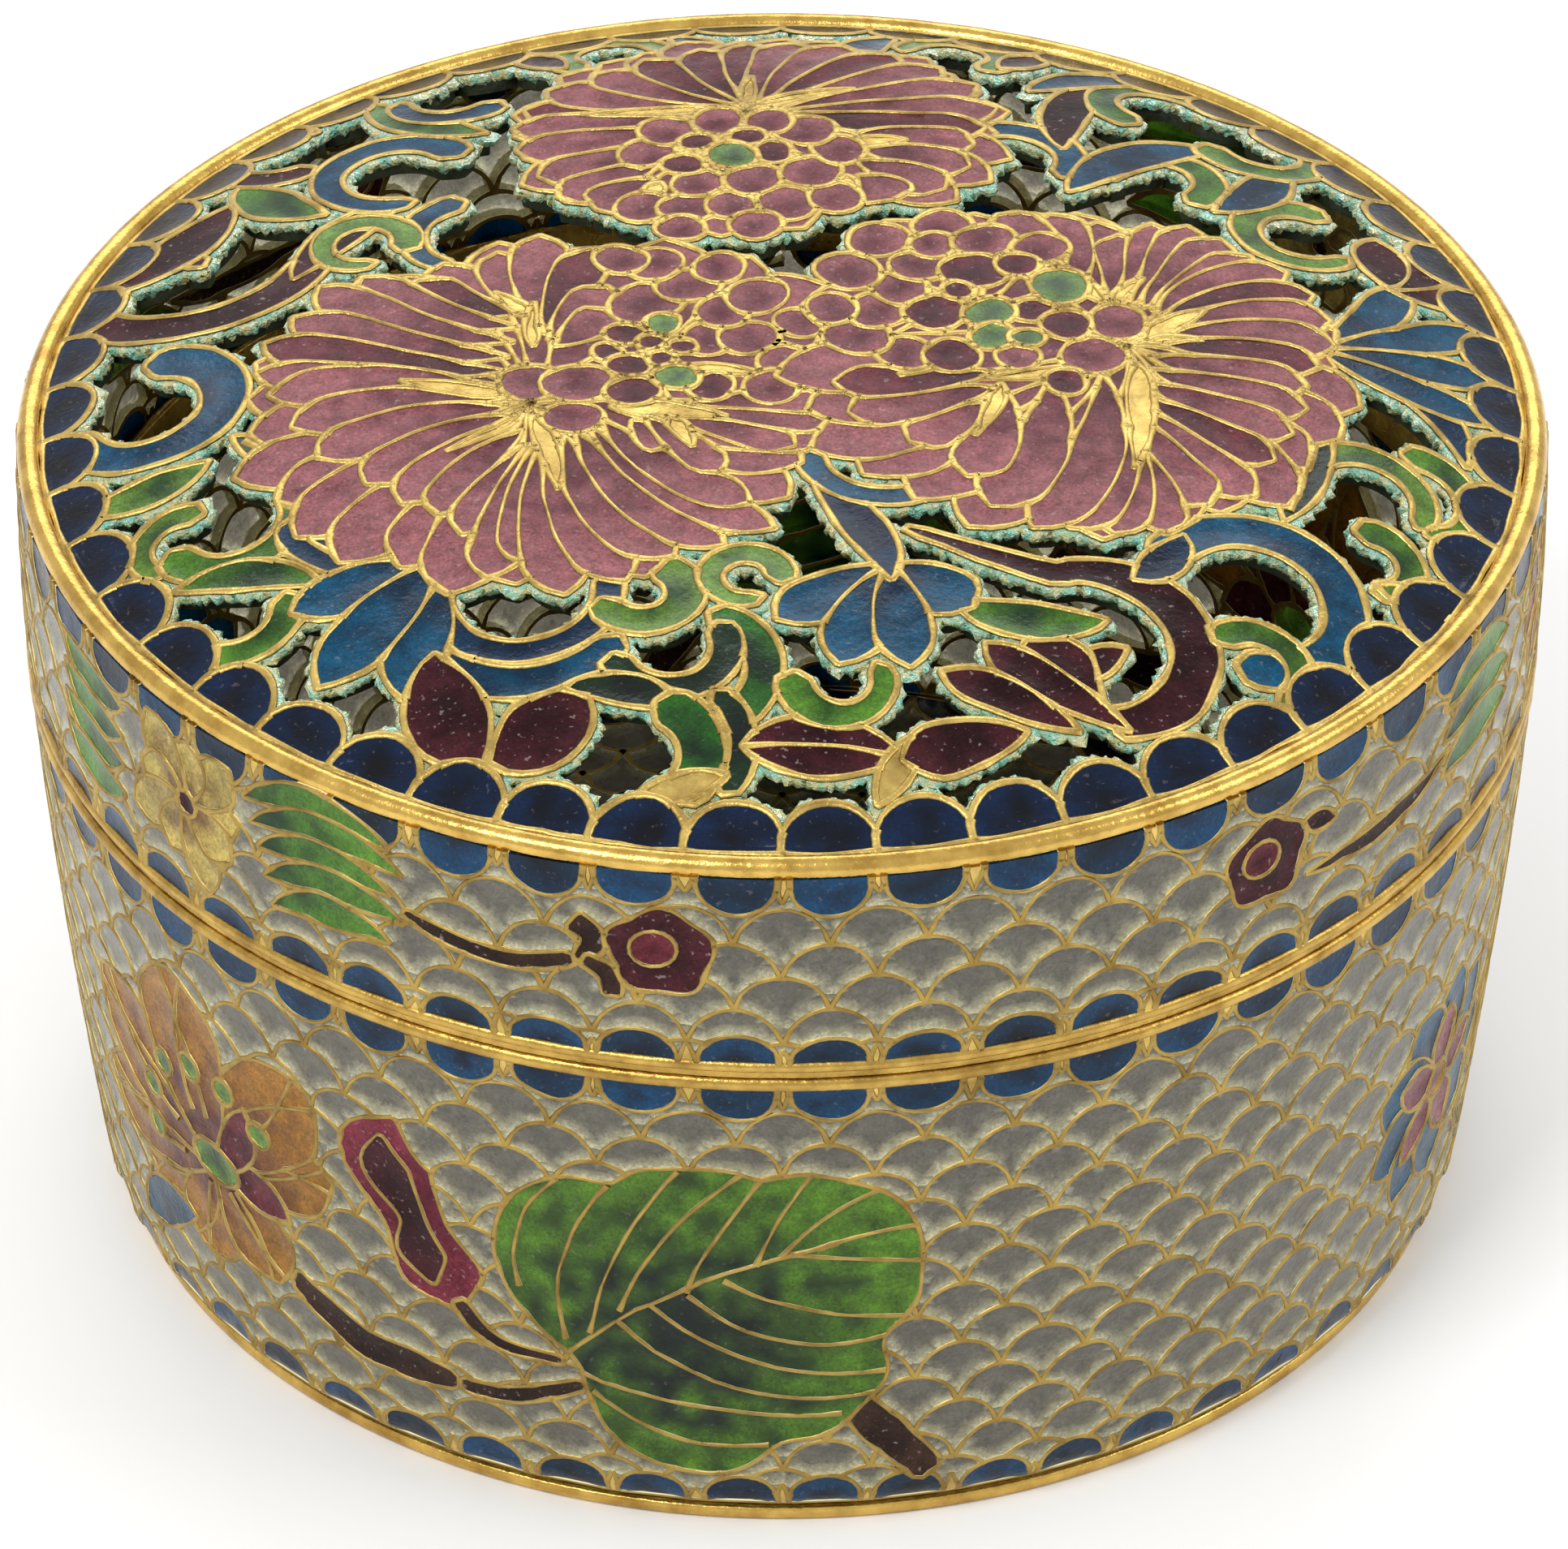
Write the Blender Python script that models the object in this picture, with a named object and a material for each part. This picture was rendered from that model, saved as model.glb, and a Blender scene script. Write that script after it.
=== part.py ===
"""Round lidded trinket box of gilt wire and glass enamel, in metres, standing on Z = 0."""

import math

import bmesh
import bpy
from mathutils import Vector
from mathutils.geometry import delaunay_2d_cdt

# Walls of the box, measured on their outer face.
body_radius = 0.0356
heel_draw = 0.0029
straight_depth = 0.0055
wall_thickness = 0.0012
floor_thickness = 0.0012
heel_round = 0.0012

# Heights.
base_height = 0.0281
lid_band_height = 0.0112
dome_rise = 0.0045
panel_thickness = 0.0011

# Gilt rings.
foot_ring_height = 0.0008
foot_ring_width = 0.0014
mouth_ring_height = 0.0007
ring_proud = 0.0001
edge_wire = 0.0011
lip_height = 0.0018
lip_thickness = 0.0005

# Clearances.
seat_gap = 0.0003
lip_clearance = 0.0003

# Openwork of the lid.
scallop_count = 50
scallop_share = 0.0616
border_share = 0.0117
flower_petals = 22
petal_spread = 1.45
cluster_petals = 12
cluster_reach = 0.62

segments = 60
turn = 2 * math.pi

base_ring_top = base_height
base_ring_bottom = base_ring_top - mouth_ring_height
shell_top = base_ring_bottom - seat_gap
lid_ring_bottom = base_ring_top + seat_gap
lid_ring_top = lid_ring_bottom + mouth_ring_height
band_bottom = lid_ring_top + seat_gap
edge_level = lid_ring_bottom + lid_band_height
band_top = edge_level - edge_wire / 2 - seat_gap
shell_bottom = foot_ring_height + seat_gap
edge_radius = body_radius - wall_thickness / 2
panel_radius = edge_radius - edge_wire / 2 - seat_gap


def side_radius(level):
    """Outer radius of the wall at a height: straight in the lid, drawn in towards the heel."""
    depth = max(0.0, edge_level - straight_depth - level)
    whole = edge_level - straight_depth - shell_bottom
    return body_radius - heel_draw * (depth / whole) ** 1.5


def dome_level(radius):
    """Height of the upper face of the lid panel at a distance from the axis."""
    return edge_level + dome_rise * (1 - (radius / edge_radius) ** 4)


def material(name, colour, roughness, metallic, transmission=0.0):
    made = bpy.data.materials.new(name)
    made.use_nodes = True
    shader = made.node_tree.nodes["Principled BSDF"]
    shader.inputs["Base Color"].default_value = (*colour, 1)
    shader.inputs["Roughness"].default_value = roughness
    shader.inputs["Metallic"].default_value = metallic
    shader.inputs["Transmission Weight"].default_value = transmission
    made.diffuse_color = (*colour, 1)
    return made


def add_object(name, shape, surface):
    bmesh.ops.recalc_face_normals(shape, faces=shape.faces)
    mesh = bpy.data.meshes.new(name)
    shape.to_mesh(mesh)
    shape.free()
    mesh.materials.append(surface)
    made = bpy.data.objects.new(name, mesh)
    bpy.context.scene.collection.objects.link(made)
    mesh.shade_smooth()
    mesh.set_sharp_from_angle(angle=math.radians(40))
    return made


def turned(name, outline, surface):
    """A solid of revolution from a closed outline of (radius, height) pairs."""
    shape = bmesh.new()
    rings = []
    for radius, level in outline:
        if radius < 1e-9:
            rings.append([shape.verts.new((0, 0, level))])
            continue
        ring = []
        for step in range(segments):
            angle = turn * step / segments
            ring.append(shape.verts.new((radius * math.cos(angle), radius * math.sin(angle), level)))
        rings.append(ring)
    for index, ring in enumerate(rings):
        after = rings[(index + 1) % len(rings)]
        for step in range(segments):
            other = (step + 1) % segments
            if len(ring) == 1 and len(after) == 1:
                break
            if len(ring) == 1:
                shape.faces.new((ring[0], after[other], after[step]))
            elif len(after) == 1:
                shape.faces.new((ring[step], ring[other], after[0]))
            else:
                shape.faces.new((ring[step], ring[other], after[other], after[step]))
    return add_object(name, shape, surface)


def levels(low, high, count):
    return [low + (high - low) * step / (count - 1) for step in range(count)]


def shell_outline():
    """Half section of the base vessel: underside, heel, side, rim, inner side, inner floor."""
    outline = [(0, shell_bottom)]
    heel_level = shell_bottom + heel_round
    for step in range(4):
        angle = math.radians(-90 + 30 * step)
        centre = side_radius(heel_level) - heel_round
        level = heel_level + heel_round * math.sin(angle)
        outline.append((centre + heel_round * math.cos(angle), level))
    for level in levels(heel_level, shell_top, 6)[1:]:
        outline.append((side_radius(level), level))
    floor_level = shell_bottom + floor_thickness
    for level in levels(shell_top, floor_level, 4):
        outline.append((side_radius(level) - wall_thickness, level))
    outline.append((0, floor_level))
    return outline


def band_outline():
    """Half section of the lid's upright band."""
    outline = [(side_radius(level), level) for level in levels(band_bottom, band_top, 4)]
    outline += [(radius - wall_thickness, level) for radius, level in reversed(outline)]
    return outline


def base_ring_outline():
    """Half section of the base rim: a bead outside and a thin upright lip inside."""
    outer = side_radius(base_ring_top) + ring_proud
    lip_outer = side_radius(lid_ring_bottom) - wall_thickness - lip_clearance
    lip_inner = lip_outer - lip_thickness
    chamfer = mouth_ring_height * 0.25
    return [
        (lip_inner, base_ring_bottom),
        (outer - chamfer, base_ring_bottom),
        (outer, base_ring_bottom + chamfer),
        (outer, base_ring_top - chamfer),
        (outer - chamfer, base_ring_top),
        (lip_outer, base_ring_top),
        (lip_outer, base_ring_top + lip_height),
        (lip_inner, base_ring_top + lip_height),
    ]


def lid_ring_outline():
    """Half section of the lid rim."""
    outer = side_radius(lid_ring_top) + ring_proud
    inner = side_radius(lid_ring_bottom) - wall_thickness
    chamfer = mouth_ring_height * 0.25
    return [
        (inner, lid_ring_bottom),
        (outer - chamfer, lid_ring_bottom),
        (outer, lid_ring_bottom + chamfer),
        (outer, lid_ring_top - chamfer),
        (outer - chamfer, lid_ring_top),
        (inner, lid_ring_top),
    ]


def foot_ring_outline():
    """Half section of the foot: flat underneath, rounded outside."""
    outer = side_radius(shell_bottom) - heel_round * 0.5
    inner = outer - foot_ring_width
    ease = foot_ring_height * 0.3
    return [
        (inner, 0),
        (outer - ease, 0),
        (outer, ease),
        (outer, foot_ring_height - ease),
        (outer - ease, foot_ring_height),
        (inner, foot_ring_height),
    ]


def edge_ring_outline():
    """Round section of the wire ring at the shoulder."""
    outline = []
    reach = edge_wire / 2
    for step in range(8):
        angle = turn * (step + 0.5) / 8
        outline.append((edge_radius + reach * math.cos(angle), edge_level + reach * math.sin(angle)))
    return outline


# The openwork is drawn flat, in millimetres on a plan of this radius, and then fitted to the panel.
plan_radius = 34.1


def point(centre, reach, degrees):
    angle = math.radians(degrees)
    return Vector((centre[0] + reach * math.cos(angle), centre[1] + reach * math.sin(angle)))


def stroke(spine, widths):
    """Outline of a band that follows a spine, with a width at each point and pointed or round ends."""
    left, right = [], []
    for index, here in enumerate(spine):
        before = spine[max(index - 1, 0)]
        after = spine[min(index + 1, len(spine) - 1)]
        along = (after - before).normalized()
        across = Vector((-along.y, along.x)) * widths[index] / 2
        left.append(here + across)
        right.append(here - across)
    return left + right[::-1]


def hook(centre, reach, start, end, width, tip=0.6, shrink=1.0):
    """A curled band: an arc from one angle to another with a tapering width and a closing radius."""
    steps = max(4, round(abs(end - start) / 32))
    spine, widths = [], []
    for step in range(steps + 1):
        part = step / steps
        spine.append(point(centre, reach * (1 + (shrink - 1) * part), start + (end - start) * part))
        ends = 0.55 if step in (0, steps) else 1.0
        widths.append(width * (1 + (tip - 1) * part) * ends)
    return stroke(spine, widths)


def blade(base, tip, width, bend=0.0, full=0.5):
    """A leaf or petal from its base to its tip, widest at the share of its length called full."""
    base, tip = Vector(base), Vector(tip)
    along = tip - base
    across = Vector((-along.y, along.x))
    spine, widths = [], []
    for part in (0.0, 0.25, 0.5, 0.75, 0.93, 1.0):
        spine.append(base + along * part + across * bend * 4 * part * (1 - part))
        swell = part / full if part < full else (1 - part) / (1 - full)
        widths.append(max(0.12, width * math.sin(math.pi / 2 * min(1, swell)) ** 0.7))
    return stroke(spine, widths)


def flower(centre, reach, hub, heart, first, last):
    """A chrysanthemum: long petals fanned from a hub, and a ruffled cluster round its heart."""
    shapes = []
    for step in range(flower_petals):
        degrees = first + (last - first) * step / (flower_petals - 1)
        jag = 1 + 0.045 * math.sin(2.4 * step + centre[0])
        tip = point(centre, reach * jag, degrees)
        width = petal_spread * turn * reach * abs(last - first) / 360 / flower_petals
        shapes.append(blade(hub, tip, width, 0.03 * math.sin(1.7 * step), 0.82))
    for step in range(cluster_petals):
        degrees = 360 * step / cluster_petals
        outer = point(heart, reach * cluster_reach * (1 + 0.06 * math.sin(2.1 * step)), degrees)
        shapes.append(blade(heart, outer, reach * 0.36, 0, 0.7))
    shapes.append([point(hub, reach * 0.12, 60 * step) for step in range(6)])
    return shapes


def scrollwork():
    """Every leaf, scroll, bud and stem between the three flowers and the border."""
    shapes = []
    add = shapes.append
    # Left side.
    add(hook((-29, -2.2), 3.7, 95, -175, 2.5, 0.7, 0.9))
    add(hook((-27.2, 10), 5.7, 212, 345, 2.0, 1.1))
    add(blade((-22.6, 6.8), (-17.6, 13.2), 2.3, 0.08))
    add(hook((-29, 8.8), 2.2, 200, 20, 1.3, 0.8))
    add(blade((-31.5, 9.5), (-26, 15.5), 3.4, -0.1))
    add(blade((-25, -5.6), (-18.3, -12.2), 2.3))
    add(hook((-24.8, -12.0), 2.9, 200, 400, 1.9))
    add(hook((-27.0, -12.6), 1.9, 60, 250, 1.5))
    add(blade((-31.6, -8.6), (-26, -7.2), 2.2, -0.1))
    add(blade((-27.2, -15.6), (-20.6, -17.0), 1.9, 0.1))
    add(hook((-24.3, -18.0), 2.3, 20, -130, 1.6, 0.9))
    # Lobed blue leaf and its band.
    for tip, width in (((-21.9, -18.6), 3.0), ((-20.5, -23.2), 3.2), ((-16.8, -24.7), 3.0)):
        add(blade((-15.2, -16.3), tip, width, 0, 0.68))
    add(hook((-18.0, -12.2), 3.7, 180, 325, 2.4, 0.8))
    add(hook((-11.5, -18.9), 3.8, 155, 375, 1.4, 1.0))
    add(hook((-11.4, -19.6), 4.9, 165, 330, 2.0, 0.9))
    # Calyx at the front left.
    add(blade((-13.2, -28.9), (-15.4, -22.3), 3.7, 0.08, 0.45))
    add(blade((-12.9, -28.7), (-9.0, -24.9), 4.0, -0.12, 0.5))
    # Green scrolls at the front.
    add(hook((-6.2, -19.2), 1.9, 80, -170, 1.9, 0.9))
    add(hook((-4.9, -22.9), 2.5, 185, 400, 1.6, 0.9))
    add(hook((-4.6, -24.2), 3.8, 70, -65, 1.7, 1.0))
    add(blade((-9.6, -25.0), (-4.4, -26.6), 1.8, 0.1))
    add(hook((-6.4, -29.0), 2.9, 75, -55, 2.3, 0.9))
    add(hook((-5.6, -28.6), 3.9, 50, -40, 1.2, 1.0))
    add(blade((-6.6, -31.4), (-2.4, -30.2), 1.5))
    add(blade((-1.8, -28.7), (5.2, -29.2), 3.4, 0.04, 0.45))
    add(blade((4.2, -31.6), (5.8, -28.0), 1.5))
    add(hook((-1.6, -18.2), 1.6, -20, 300, 1.6))
    add(hook((2.5, -25.0), 2.0, 165, 395, 1.8))
    # Fan leaf with its long curl.
    add(blade((10.8, -27.3), (5.2, -29.3), 2.9, 0, 0.7))
    add(blade((13.0, -27.0), (7.1, -24.2), 2.1, 0, 0.7))
    add(blade((15.4, -26.6), (9.0, -22.4), 2.2, 0.04, 0.72))
    add(blade((14.2, -26.0), (11.6, -21.4), 3.4, 0.1, 0.66))
    add(blade((13.0, -24.6), (15.2, -22.0), 1.7, 0.1))
    add(hook((13.7, -22.1), 4.9, 118, -78, 2.2, 0.9))
    add(blade((5.6, -14.6), (12.4, -17.3), 2.0, 0.05))
    add(blade((7.6, -19.8), (14.4, -20.4), 2.3, -0.1))
    # Blue leaf, stem and loop in the middle.
    for tip, width in (((-0.3, -21.2), 3.0), ((2.5, -24.0), 3.0), ((5.7, -24.1), 2.6)):
        add(blade((4.8, -17.4), tip, width, 0, 0.68))
    add(blade((4.8, -17.4), (8.5, -20.1), 3.4, 0, 0.68))
    add(blade((1.4, -11.4), (4.9, -18.4), 2.2, 0.08))
    add(hook((4.6, -9.0), 3.3, 175, 415, 1.4, 0.9))
    add(blade((-1.0, -4.4), (2.8, -4.6), 2.4))
    # Right side.
    add(hook((20.9, -17.8), 4.3, 158, -100, 2.2, 0.9))
    add(blade((15.6, -17.6), (18.0, -14.2), 2.0, -0.1))
    add(hook((21.0, -22.0), 2.0, 150, -60, 1.7))
    add(hook((26.2, -9.6), 2.9, 190, -30, 1.8))
    add(hook((28.6, -8.6), 2.7, 100, -80, 1.8))
    add(hook((26.4, -14.0), 1.9, 110, -90, 1.8))
    add(blade((24.8, -4.4), (22.6, -12.4), 2.1))
    add(blade((26.6, -15.4), (30.2, -16.2), 1.5))
    for tip, width in (((28.9, 8.6), 2.3), ((32.2, 6.4), 2.3), ((33.0, 2.4), 2.4), ((32.8, -1.4), 2.2)):
        add(blade((24.6, 1.2), tip, width, -0.06, 0.7))
    add(blade((24.6, 1.0), (31.2, -5.6), 2.0, 0.2))
    for tip in ((32.6, 9.2), (31.4, 13.2), (27.8, 12.8)):
        add(blade((28.2, 8.0), tip, 2.6, 0, 0.6))
    # Back right.
    add(hook((10.7, 16.4), 2.9, 215, -35, 1.5, 1.0))
    add(hook((24.2, 11.4), 2.6, 60, 330, 1.7))
    add(hook((17.8, 15.2), 2.3, -60, 190, 1.8))
    add(blade((13.4, 13.4), (20.6, 19.2), 2.6, 0.12))
    add(blade((20.2, 12.6), (23.6, 18.8), 2.4, -0.1))
    add(hook((22.6, 20.4), 2.6, 190, 430, 1.8))
    add(blade((13.2, 17.6), (15.6, 26.2), 2.4, 0.1))
    add(hook((17.8, 23.8), 2.6, 250, 20, 1.7))
    add(blade((11.8, 24.0), (17.8, 27.8), 2.2, 0.1))
    # Back left.
    add(hook((-14.2, 9.6), 3.0, 100, 250, 1.6))
    add(hook((-18.2, 16.0), 3.2, 20, 290, 2.0))
    add(hook((-19.4, 9.4), 2.0, -30, 290, 1.5))
    add(blade((-21.4, 12.6), (-25.6, 17.6), 2.6, 0.1))
    add(hook((-23.4, 20.4), 2.8, 300, 60, 1.8))
    add(blade((-14.0, 19.4), (-19.6, 25.6), 2.4, 0.12))
    add(hook((-15.6, 24.4), 2.6, 330, 170, 1.8))
    # Back edge.
    for side in (-1, 1):
        add(hook((side * 8.2, 28.6), 2.4, 90 - side * 150, 90 + side * 90, 1.7))
        add(blade((side * 3.4, 26.4), (side * 5.4, 31.4), 2.2, side * 0.1))
        add(blade((side * 10.4, 27.0), (side * 12.8, 30.2), 2.0))
    return shapes


def border():
    """The plain rim of the panel with scallops pointing inwards."""
    rim = plan_radius * (1 - border_share)
    rise = plan_radius * scallop_share
    half = turn * rim / scallop_count / 2 * 1.04
    shapes = []
    for scallop in range(scallop_count):
        middle = turn * scallop / scallop_count
        outward = Vector((math.cos(middle), math.sin(middle)))
        sideways = Vector((-outward.y, outward.x))
        outline = [outward * (rim + 0.4) - sideways * half, outward * (rim + 0.4) + sideways * half]
        for step in range(7):
            angle = math.pi * step / 6
            outline.append(outward * (rim - rise * math.sin(angle)) + sideways * half * math.cos(angle))
        shapes.append(outline)
    return shapes


def signed_area(loop):
    total = 0.0
    for index, here in enumerate(loop):
        after = loop[(index + 1) % len(loop)]
        total += here.x * after.y - here.y * after.x
    return total / 2


def merged(shapes):
    """Boundary edges of the union of the shapes, and the points where it only touches itself."""
    points, faces = [], []
    for shape in shapes:
        if signed_area(shape) < 0:
            shape = shape[::-1]
        faces.append(list(range(len(points), len(points) + len(shape))))
        points += shape
    found = delaunay_2d_cdt(points, [], faces, 0, 1e-4, True)
    sides = {}
    for face, sources in zip(found[2], found[5]):
        if not sources:
            continue
        for index, here in enumerate(face):
            sides[(here, face[(index + 1) % len(face)])] = True
    follow = {}
    for here, after in sides:
        if (after, here) not in sides:
            follow.setdefault(here, []).append(after)
    touching = [found[0][vertex] for vertex, ends in follow.items() if len(ends) > 1]
    return found[0], follow, touching


def loops_of(shapes):
    """Closed boundary loops of the union, after a small dot of metal joins every point contact."""
    for attempt in range(4):
        points, follow, touching = merged(shapes)
        if not touching:
            break
        for spot in touching:
            shapes.append([point(spot, 0.4, 60 * step + 10) for step in range(6)])
    loops = []
    while follow:
        start = next(iter(follow))
        loop, here = [], start
        while here in follow:
            loop.append(points[here])
            here = follow.pop(here)[0]
        loops.append(loop)
    return loops


def eased(loop, least=0.34, flat=0.06):
    """The loop without points that are too close together or in line with their neighbours."""
    kept = list(loop)
    changed = True
    while changed and len(kept) > 4:
        changed = False
        for index in range(len(kept)):
            before, here = kept[index - 1], kept[index]
            after = kept[(index + 1) % len(kept)]
            span = after - before
            away = abs(span.x * (here - before).y - span.y * (here - before).x) / max(span.length, 1e-9)
            if (here - before).length < least or away < flat:
                kept.pop(index)
                changed = True
                break
    return kept


def inside(spot, loop):
    crossed = False
    for index, here in enumerate(loop):
        after = loop[(index + 1) % len(loop)]
        if (here.y > spot.y) != (after.y > spot.y):
            where = here.x + (spot.y - here.y) * (after.x - here.x) / (after.y - here.y)
            crossed ^= spot.x < where
    return crossed


def lid_panel(surface):
    """The domed openwork panel: flowers and scrolls inside a scalloped rim."""
    shapes = flower((-11.2, -5.2), 13.4, (-11.3, -4.9), (-5.4, 0.4), 98, 352)
    shapes += flower((13.0, -1.8), 13.0, (15.8, 0), (9.0, 3.0), 100, -176)
    shapes += flower((-1.0, 18.6), 11.6, (-1.7, 20.5), (-2.8, 16.2), 215, -35)
    shapes += scrollwork()
    shapes += border()
    rim = [point((0, 0), plan_radius, 360 * step / segments) for step in range(segments)]
    holes = []
    for loop in loops_of(shapes):
        if signed_area(loop) > 0:
            continue
        hole = eased(loop)
        if abs(signed_area(hole)) > 0.6:
            holes.append(hole)
    points = list(rim)
    rings = [list(range(segments))]
    for hole in holes:
        rings.append(list(range(len(points), len(points) + len(hole))))
        points += hole
    spacing = 5.5
    for row in range(-6, 7):
        for column in range(-7, 8):
            spot = Vector((spacing * (column + 0.5 * (row % 2)), spacing * 0.866 * row))
            if spot.length > plan_radius - 1.5 or any(inside(spot, hole) for hole in holes):
                continue
            if min((spot - other).length for other in points) > 1.4:
                points.append(spot)
    edges = [(ring[index - 1], ring[index]) for ring in rings for index in range(len(ring))]
    found = delaunay_2d_cdt(points, edges, [], 0, 1e-5, False)
    fit = panel_radius / plan_radius
    shape = bmesh.new()
    upper, lower = [], []
    for spot in found[0]:
        x, y = spot.x * fit, spot.y * fit
        level = dome_level(math.hypot(x, y))
        upper.append(shape.verts.new((x, y, level)))
        lower.append(shape.verts.new((x, y, level - panel_thickness)))
    sides = {}
    for face in found[2]:
        middle = sum((found[0][index] for index in face), Vector((0, 0))) / len(face)
        if any(inside(middle, hole) for hole in holes):
            continue
        shape.faces.new([upper[index] for index in face])
        shape.faces.new([lower[index] for index in reversed(face)])
        for index, here in enumerate(face):
            sides[(here, face[(index + 1) % len(face)])] = True
    for here, after in sides:
        if (after, here) not in sides:
            shape.faces.new((upper[after], upper[here], lower[here], lower[after]))
    bmesh.ops.delete(shape, geom=[vert for vert in shape.verts if not vert.link_faces], context="VERTS")
    return add_object("lid_top_panel", shape, surface)


for old in list(bpy.data.objects):
    bpy.data.objects.remove(old)

gilt = material("gilt", (0.83, 0.60, 0.24), 0.3, 1.0)
rim_gilt = material("rim_gilt", (0.86, 0.58, 0.20), 0.28, 1.0)
clear_enamel = material("clear_enamel", (0.47, 0.48, 0.36), 0.15, 0.0, 0.6)
lid_enamel = material("rose_enamel", (0.33, 0.12, 0.15), 0.18, 0.0, 0.4)

turned("base_foot_ring", foot_ring_outline(), gilt)
turned("base_shell", shell_outline(), clear_enamel)
turned("base_mouth_ring", base_ring_outline(), rim_gilt)
turned("lid_mouth_ring", lid_ring_outline(), rim_gilt)
turned("lid_side_band", band_outline(), clear_enamel)
turned("lid_edge_ring", edge_ring_outline(), gilt)
lid_panel(lid_enamel)
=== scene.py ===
"""Looks of a round lidded trinket box: gilt wires, enamel cells, light and camera. Lengths are in mm."""

import math

import bpy
import numpy as np
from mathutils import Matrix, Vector, noise
from mathutils.geometry import delaunay_2d_cdt
from mathutils.kdtree import KDTree


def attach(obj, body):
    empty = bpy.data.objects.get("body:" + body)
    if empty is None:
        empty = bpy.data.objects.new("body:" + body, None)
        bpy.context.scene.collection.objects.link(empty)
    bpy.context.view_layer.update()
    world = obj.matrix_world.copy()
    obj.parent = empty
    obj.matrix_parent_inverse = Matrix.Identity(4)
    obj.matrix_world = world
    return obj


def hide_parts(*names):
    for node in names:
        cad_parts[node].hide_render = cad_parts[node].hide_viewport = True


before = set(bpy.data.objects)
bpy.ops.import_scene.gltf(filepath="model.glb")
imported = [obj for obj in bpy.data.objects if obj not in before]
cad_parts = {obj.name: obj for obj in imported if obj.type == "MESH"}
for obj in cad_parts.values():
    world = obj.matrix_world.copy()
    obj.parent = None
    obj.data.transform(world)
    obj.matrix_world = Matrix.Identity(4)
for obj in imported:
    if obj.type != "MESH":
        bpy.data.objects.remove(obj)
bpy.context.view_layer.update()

# The same bends in every hand-bent wire each time.
noise.seed_set(5)

# Walls and rings, the same sizes as the solids.
body_radius = 35.6
heel_draw = 2.9
straight_depth = 5.5
wall_thickness = 1.2
heel_round = 1.2
base_height = 28.1
lid_band_height = 11.2
dome_rise = 4.5
foot_ring_height = 0.8
foot_ring_width = 1.4
mouth_ring_height = 0.7
ring_proud = 0.1
edge_wire = 1.1
lip_height = 1.8
lip_thickness = 0.5
seat_gap = 0.3
lip_clearance = 0.3
scallop_count = 50
scallop_share = 0.0616
border_share = 0.0117
plan_radius = 34.1

# Surface detail.
slab = 1.15
wire_width = 0.2
rim_width = 0.36
wire_rise = 0.05
wire_end_overlap = 0.08
dish = 0.09
scale_count = 52
row_pitch = 1.85
floor_scale_pitch = 4.0
floor_scallop_count = 44

# The glass is cut into an even triangular grid.
cell_grid = 0.55
grid_row_share = 0.866
clear_of_lines = 0.2

lid_ring_bottom = base_height + seat_gap
lid_ring_top = lid_ring_bottom + mouth_ring_height
base_ring_bottom = base_height - mouth_ring_height
edge_level = lid_ring_bottom + lid_band_height
shell_bottom = foot_ring_height + seat_gap
heel_level = shell_bottom + heel_round
edge_radius = body_radius - wall_thickness / 2
panel_radius = edge_radius - edge_wire / 2 + 0.05
unrolled_radius = 35
plan_turn = 2 * math.pi * unrolled_radius
half_turn = plan_turn / 2
per_degree = plan_turn / 360


def side_radius(level):
    """The wall's outer radius. It is upright under the edge and draws in towards the heel."""
    depth = max(0.0, edge_level - straight_depth - level)
    whole = edge_level - straight_depth - shell_bottom
    return body_radius - heel_draw * (depth / whole) ** 1.5


def linear(red, green, blue):
    """A colour as the eye names it, 0 to 255, turned to light."""
    levels = (red, green, blue)
    return tuple(((level / 255 + 0.055) / 1.055) ** 2.4 if level > 10 else level / 3294 for level in levels)


def ripple(spot, size, scale):
    """A smooth wave over the drawing, for the unevenness of hand work."""
    return noise.noise(Vector((spot[0], spot[1], spot[2] if len(spot) > 2 else 0.0)) * scale) * size


# Places of the flat drawings on the box: a spot on the plan and a depth below the outer face.


def on_dome(x, y, depth):
    radius = math.hypot(x, y)
    level = edge_level + dome_rise * (1 - (radius / edge_radius) ** 4)
    slope = 4 * dome_rise * radius**3 / edge_radius**4
    length = math.hypot(slope, 1)
    away = slope / length / max(radius, 1e-6)
    return Vector((x - x * away * depth, y - y * away * depth, level - depth / length))


def on_side(x, y, depth):
    angle = x / unrolled_radius
    if y >= heel_level:
        radius = side_radius(y)
        slope = (side_radius(y + 0.1) - side_radius(y - 0.1)) / 0.2
        length = math.hypot(1, slope)
        radius, level = radius - depth / length, y + depth * slope / length
    else:
        bend = min(math.pi / 2, (heel_level - y) / heel_round)
        reach = heel_round - depth
        radius = side_radius(heel_level) - heel_round + reach * math.cos(bend)
        level = heel_level - reach * math.sin(bend)
    return Vector((radius * math.sin(angle), -radius * math.cos(angle), level))


def on_floor(x, y, depth):
    return Vector((x, -y, shell_bottom + depth))


# Outlines.


def point(centre, reach, degrees):
    angle = math.radians(degrees)
    return Vector((centre[0] + reach * math.cos(angle), centre[1] + reach * math.sin(angle)))


def stroke(spine, widths):
    """The outline of a band along a line."""
    left, right = [], []
    for index, here in enumerate(spine):
        along = (spine[min(index + 1, len(spine) - 1)] - spine[max(index - 1, 0)]).normalized()
        across = Vector((-along.y, along.x)) * widths[index] / 2
        left.append(here + across)
        right.append(here - across)
    return left + right[::-1]


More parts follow.
